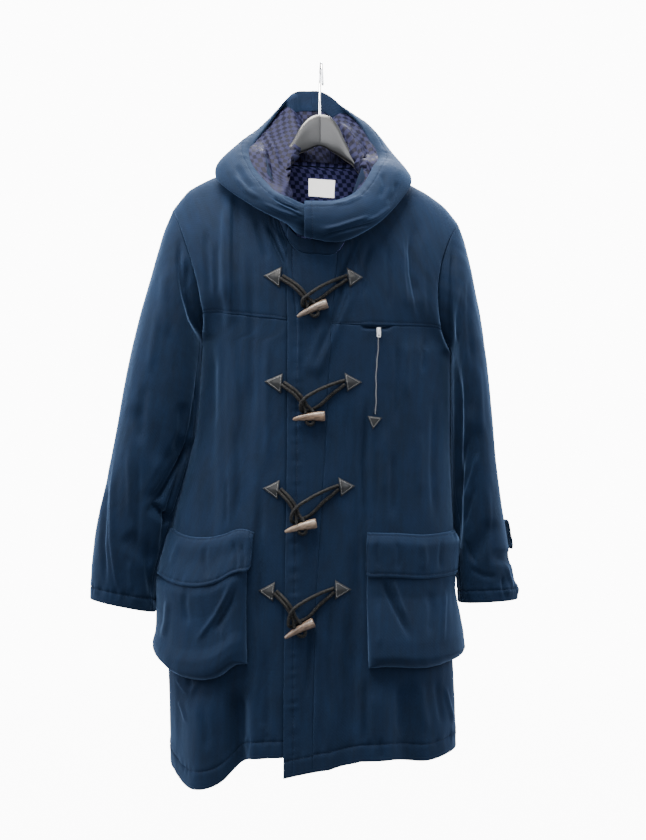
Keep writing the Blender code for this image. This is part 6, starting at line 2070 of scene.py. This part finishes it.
# Where the two arms meet, a fine line stands out
MIDDLE = -3
spans = np.linspace(HANGER[0][0], HANGER[-1][0], 110)
spans = np.unique(np.concatenate([spans, [MIDDLE - 0.4, MIDDLE, MIDDLE + 0.4]]))
top, low, thick = (curve(HANGER, k, spans) for k in (1, 2, 3))
turns = np.arange(48) * math.tau / 48
rings = []
for x, up, down, half in zip(spans, top, low, thick):
    up = up - 5.0 * ease((abs(x) - 115.0) / 25.0)
    reach = squircle(turns, 3.2)
    y = half * reach * np.cos(turns)
    forward = 2.6 - 0.11 * min(abs(x - MIDDLE), 46.0) + (0.5 if x == MIDDLE else 0.0)
    y = y + forward * (y < 0) * np.clip(-y / half, 0, 1)
    z = (up + down) / 2 + (up - down) / 2 * reach * np.sin(turns)
    rings.append(np.stack([x + 0 * y, y, z], axis=-1))
made = loft("beech_hanger", rings, BEECH)
keep(made, "hanger_wood", "hanger")

CHROME = finish("chromed_wire", Base_Color=colour("#dfe0e2"), Metallic=1.0, Roughness=0.09)[0]
# The wire's path: the shank, the crook as part of a circle, and its short end
CROOK_RADIUS, CROOK_DEGREES = 19.0, 105
hook_path = [(-3, 0, -86), (-3, 0, -82.7), (-3, 0.3, -71), (-3, 3.5, -58)]
hook_path += [(-2.8, 9.5, -45), (-2.6, 15, -34)]
for degrees in (CROOK_DEGREES, 80, 50, 25, 0, -25, -50, -80, -CROOK_DEGREES):
    turn = math.radians(degrees)
    x = -2.4 + 3.6 * (CROOK_DEGREES - degrees) / (2 * CROOK_DEGREES)
    hook_path.append((x, CROOK_RADIUS * math.sin(turn), CROOK_RADIUS * math.cos(turn) - 17.0))
hook_path += [(1.8, -17.4, -31), (2.2, -16.6, -38)]
points, along = fine(hook_path, 1.2)
radii = np.full(len(points), 2.0)
radii[-3:] = 1.9, 1.5, 0.8
made = loft("chromed_hook", tube_rings(points, radii, 20), CHROME)
keep(made, "hook_chrome", "hanger_hook")

# ---- stitching --------------------------------------------------------------------
# Lockstitch in navy polyester thread on the cloth and pale grey on the leather. The
# real stitches are 3 mm long and 0.3 mm thick; they are drawn 0.5 mm thick, to show.


# Rings of one stitch from end to end: share of its length, of its width, and height
STITCH = ((-0.5, 0.35, -0.25), (-0.3, 1.0, 0.12), (0.3, 1.0, 0.12), (0.5, 0.35, -0.25))


def stitches(name, lines, made_of, slot, long, pitch, wide):
    """Small raised stitches along lines of points and normals."""
    spots, ways, outs = [], [], []
    for points, normals in lines:
        keys = run(points)
        if keys[-1] < pitch:
            continue
        at = np.arange(pitch / 2, keys[-1] - pitch / 3, pitch)
        spots.append(between(keys, points, at))
        ways.append(unit(between(keys, points, at + 0.6) - between(keys, points, at - 0.6)))
        outs.append(unit(between(keys, normals, at)))
    spots, ways, outs = (np.concatenate(parts) for parts in (spots, ways, outs))
    sides = unit(np.cross(ways, outs))
    rings = []
    for share, size, height in STITCH:
        for a, b in ((1, 0), (0, 1), (-1, 0), (0, -1)):
            aside = sides * a * size * wide / 2
            up = outs * (height + b * size * wide / 2)
            rings.append(spots + ways * share * long + aside + up)
    points = np.stack(rings, axis=1).reshape(-1, 3)
    tile = []
    for base in (0, 4, 8):
        for k, n in ((0, 1), (1, 2), (2, 3), (3, 0)):
            tile.append((base + k, base + k + 4, base + n + 4, base + n))
    tile += [(0, 1, 2, 3), (15, 14, 13, 12)]
    faces = (np.array(tile)[None] + (np.arange(len(spots)) * 16)[:, None, None]).reshape(-1, 4)
    made = solid(name, points, faces.tolist(), made_of)
    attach(made, "coat")


# Name, lines, material, its colour and gloss, slot, and a stitch's length, pitch and width
for name, lines, material, tint, gloss, slot, *sizes in (
    ("navy_stitching", STITCHES, "navy_polyester_thread", "#0a1424", 0.12,
     "navy_cloth", 2.8, 4.0, 0.55),
    ("leather_stitching", THREADS, "pale_grey_thread", "#77787a", 0.15,
     "leather", 1.7, 2.4, 0.5),
):
    made_of = finish(material, Base_Color=colour(tint), Roughness=0.6, Specular_IOR_Level=gloss)[0]
    stitches(name, lines, made_of, slot, *sizes)

low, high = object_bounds()
{"cad": [list(cad_low), list(cad_high)], "visual": [list(low), list(high)], "sheets": FLAT}
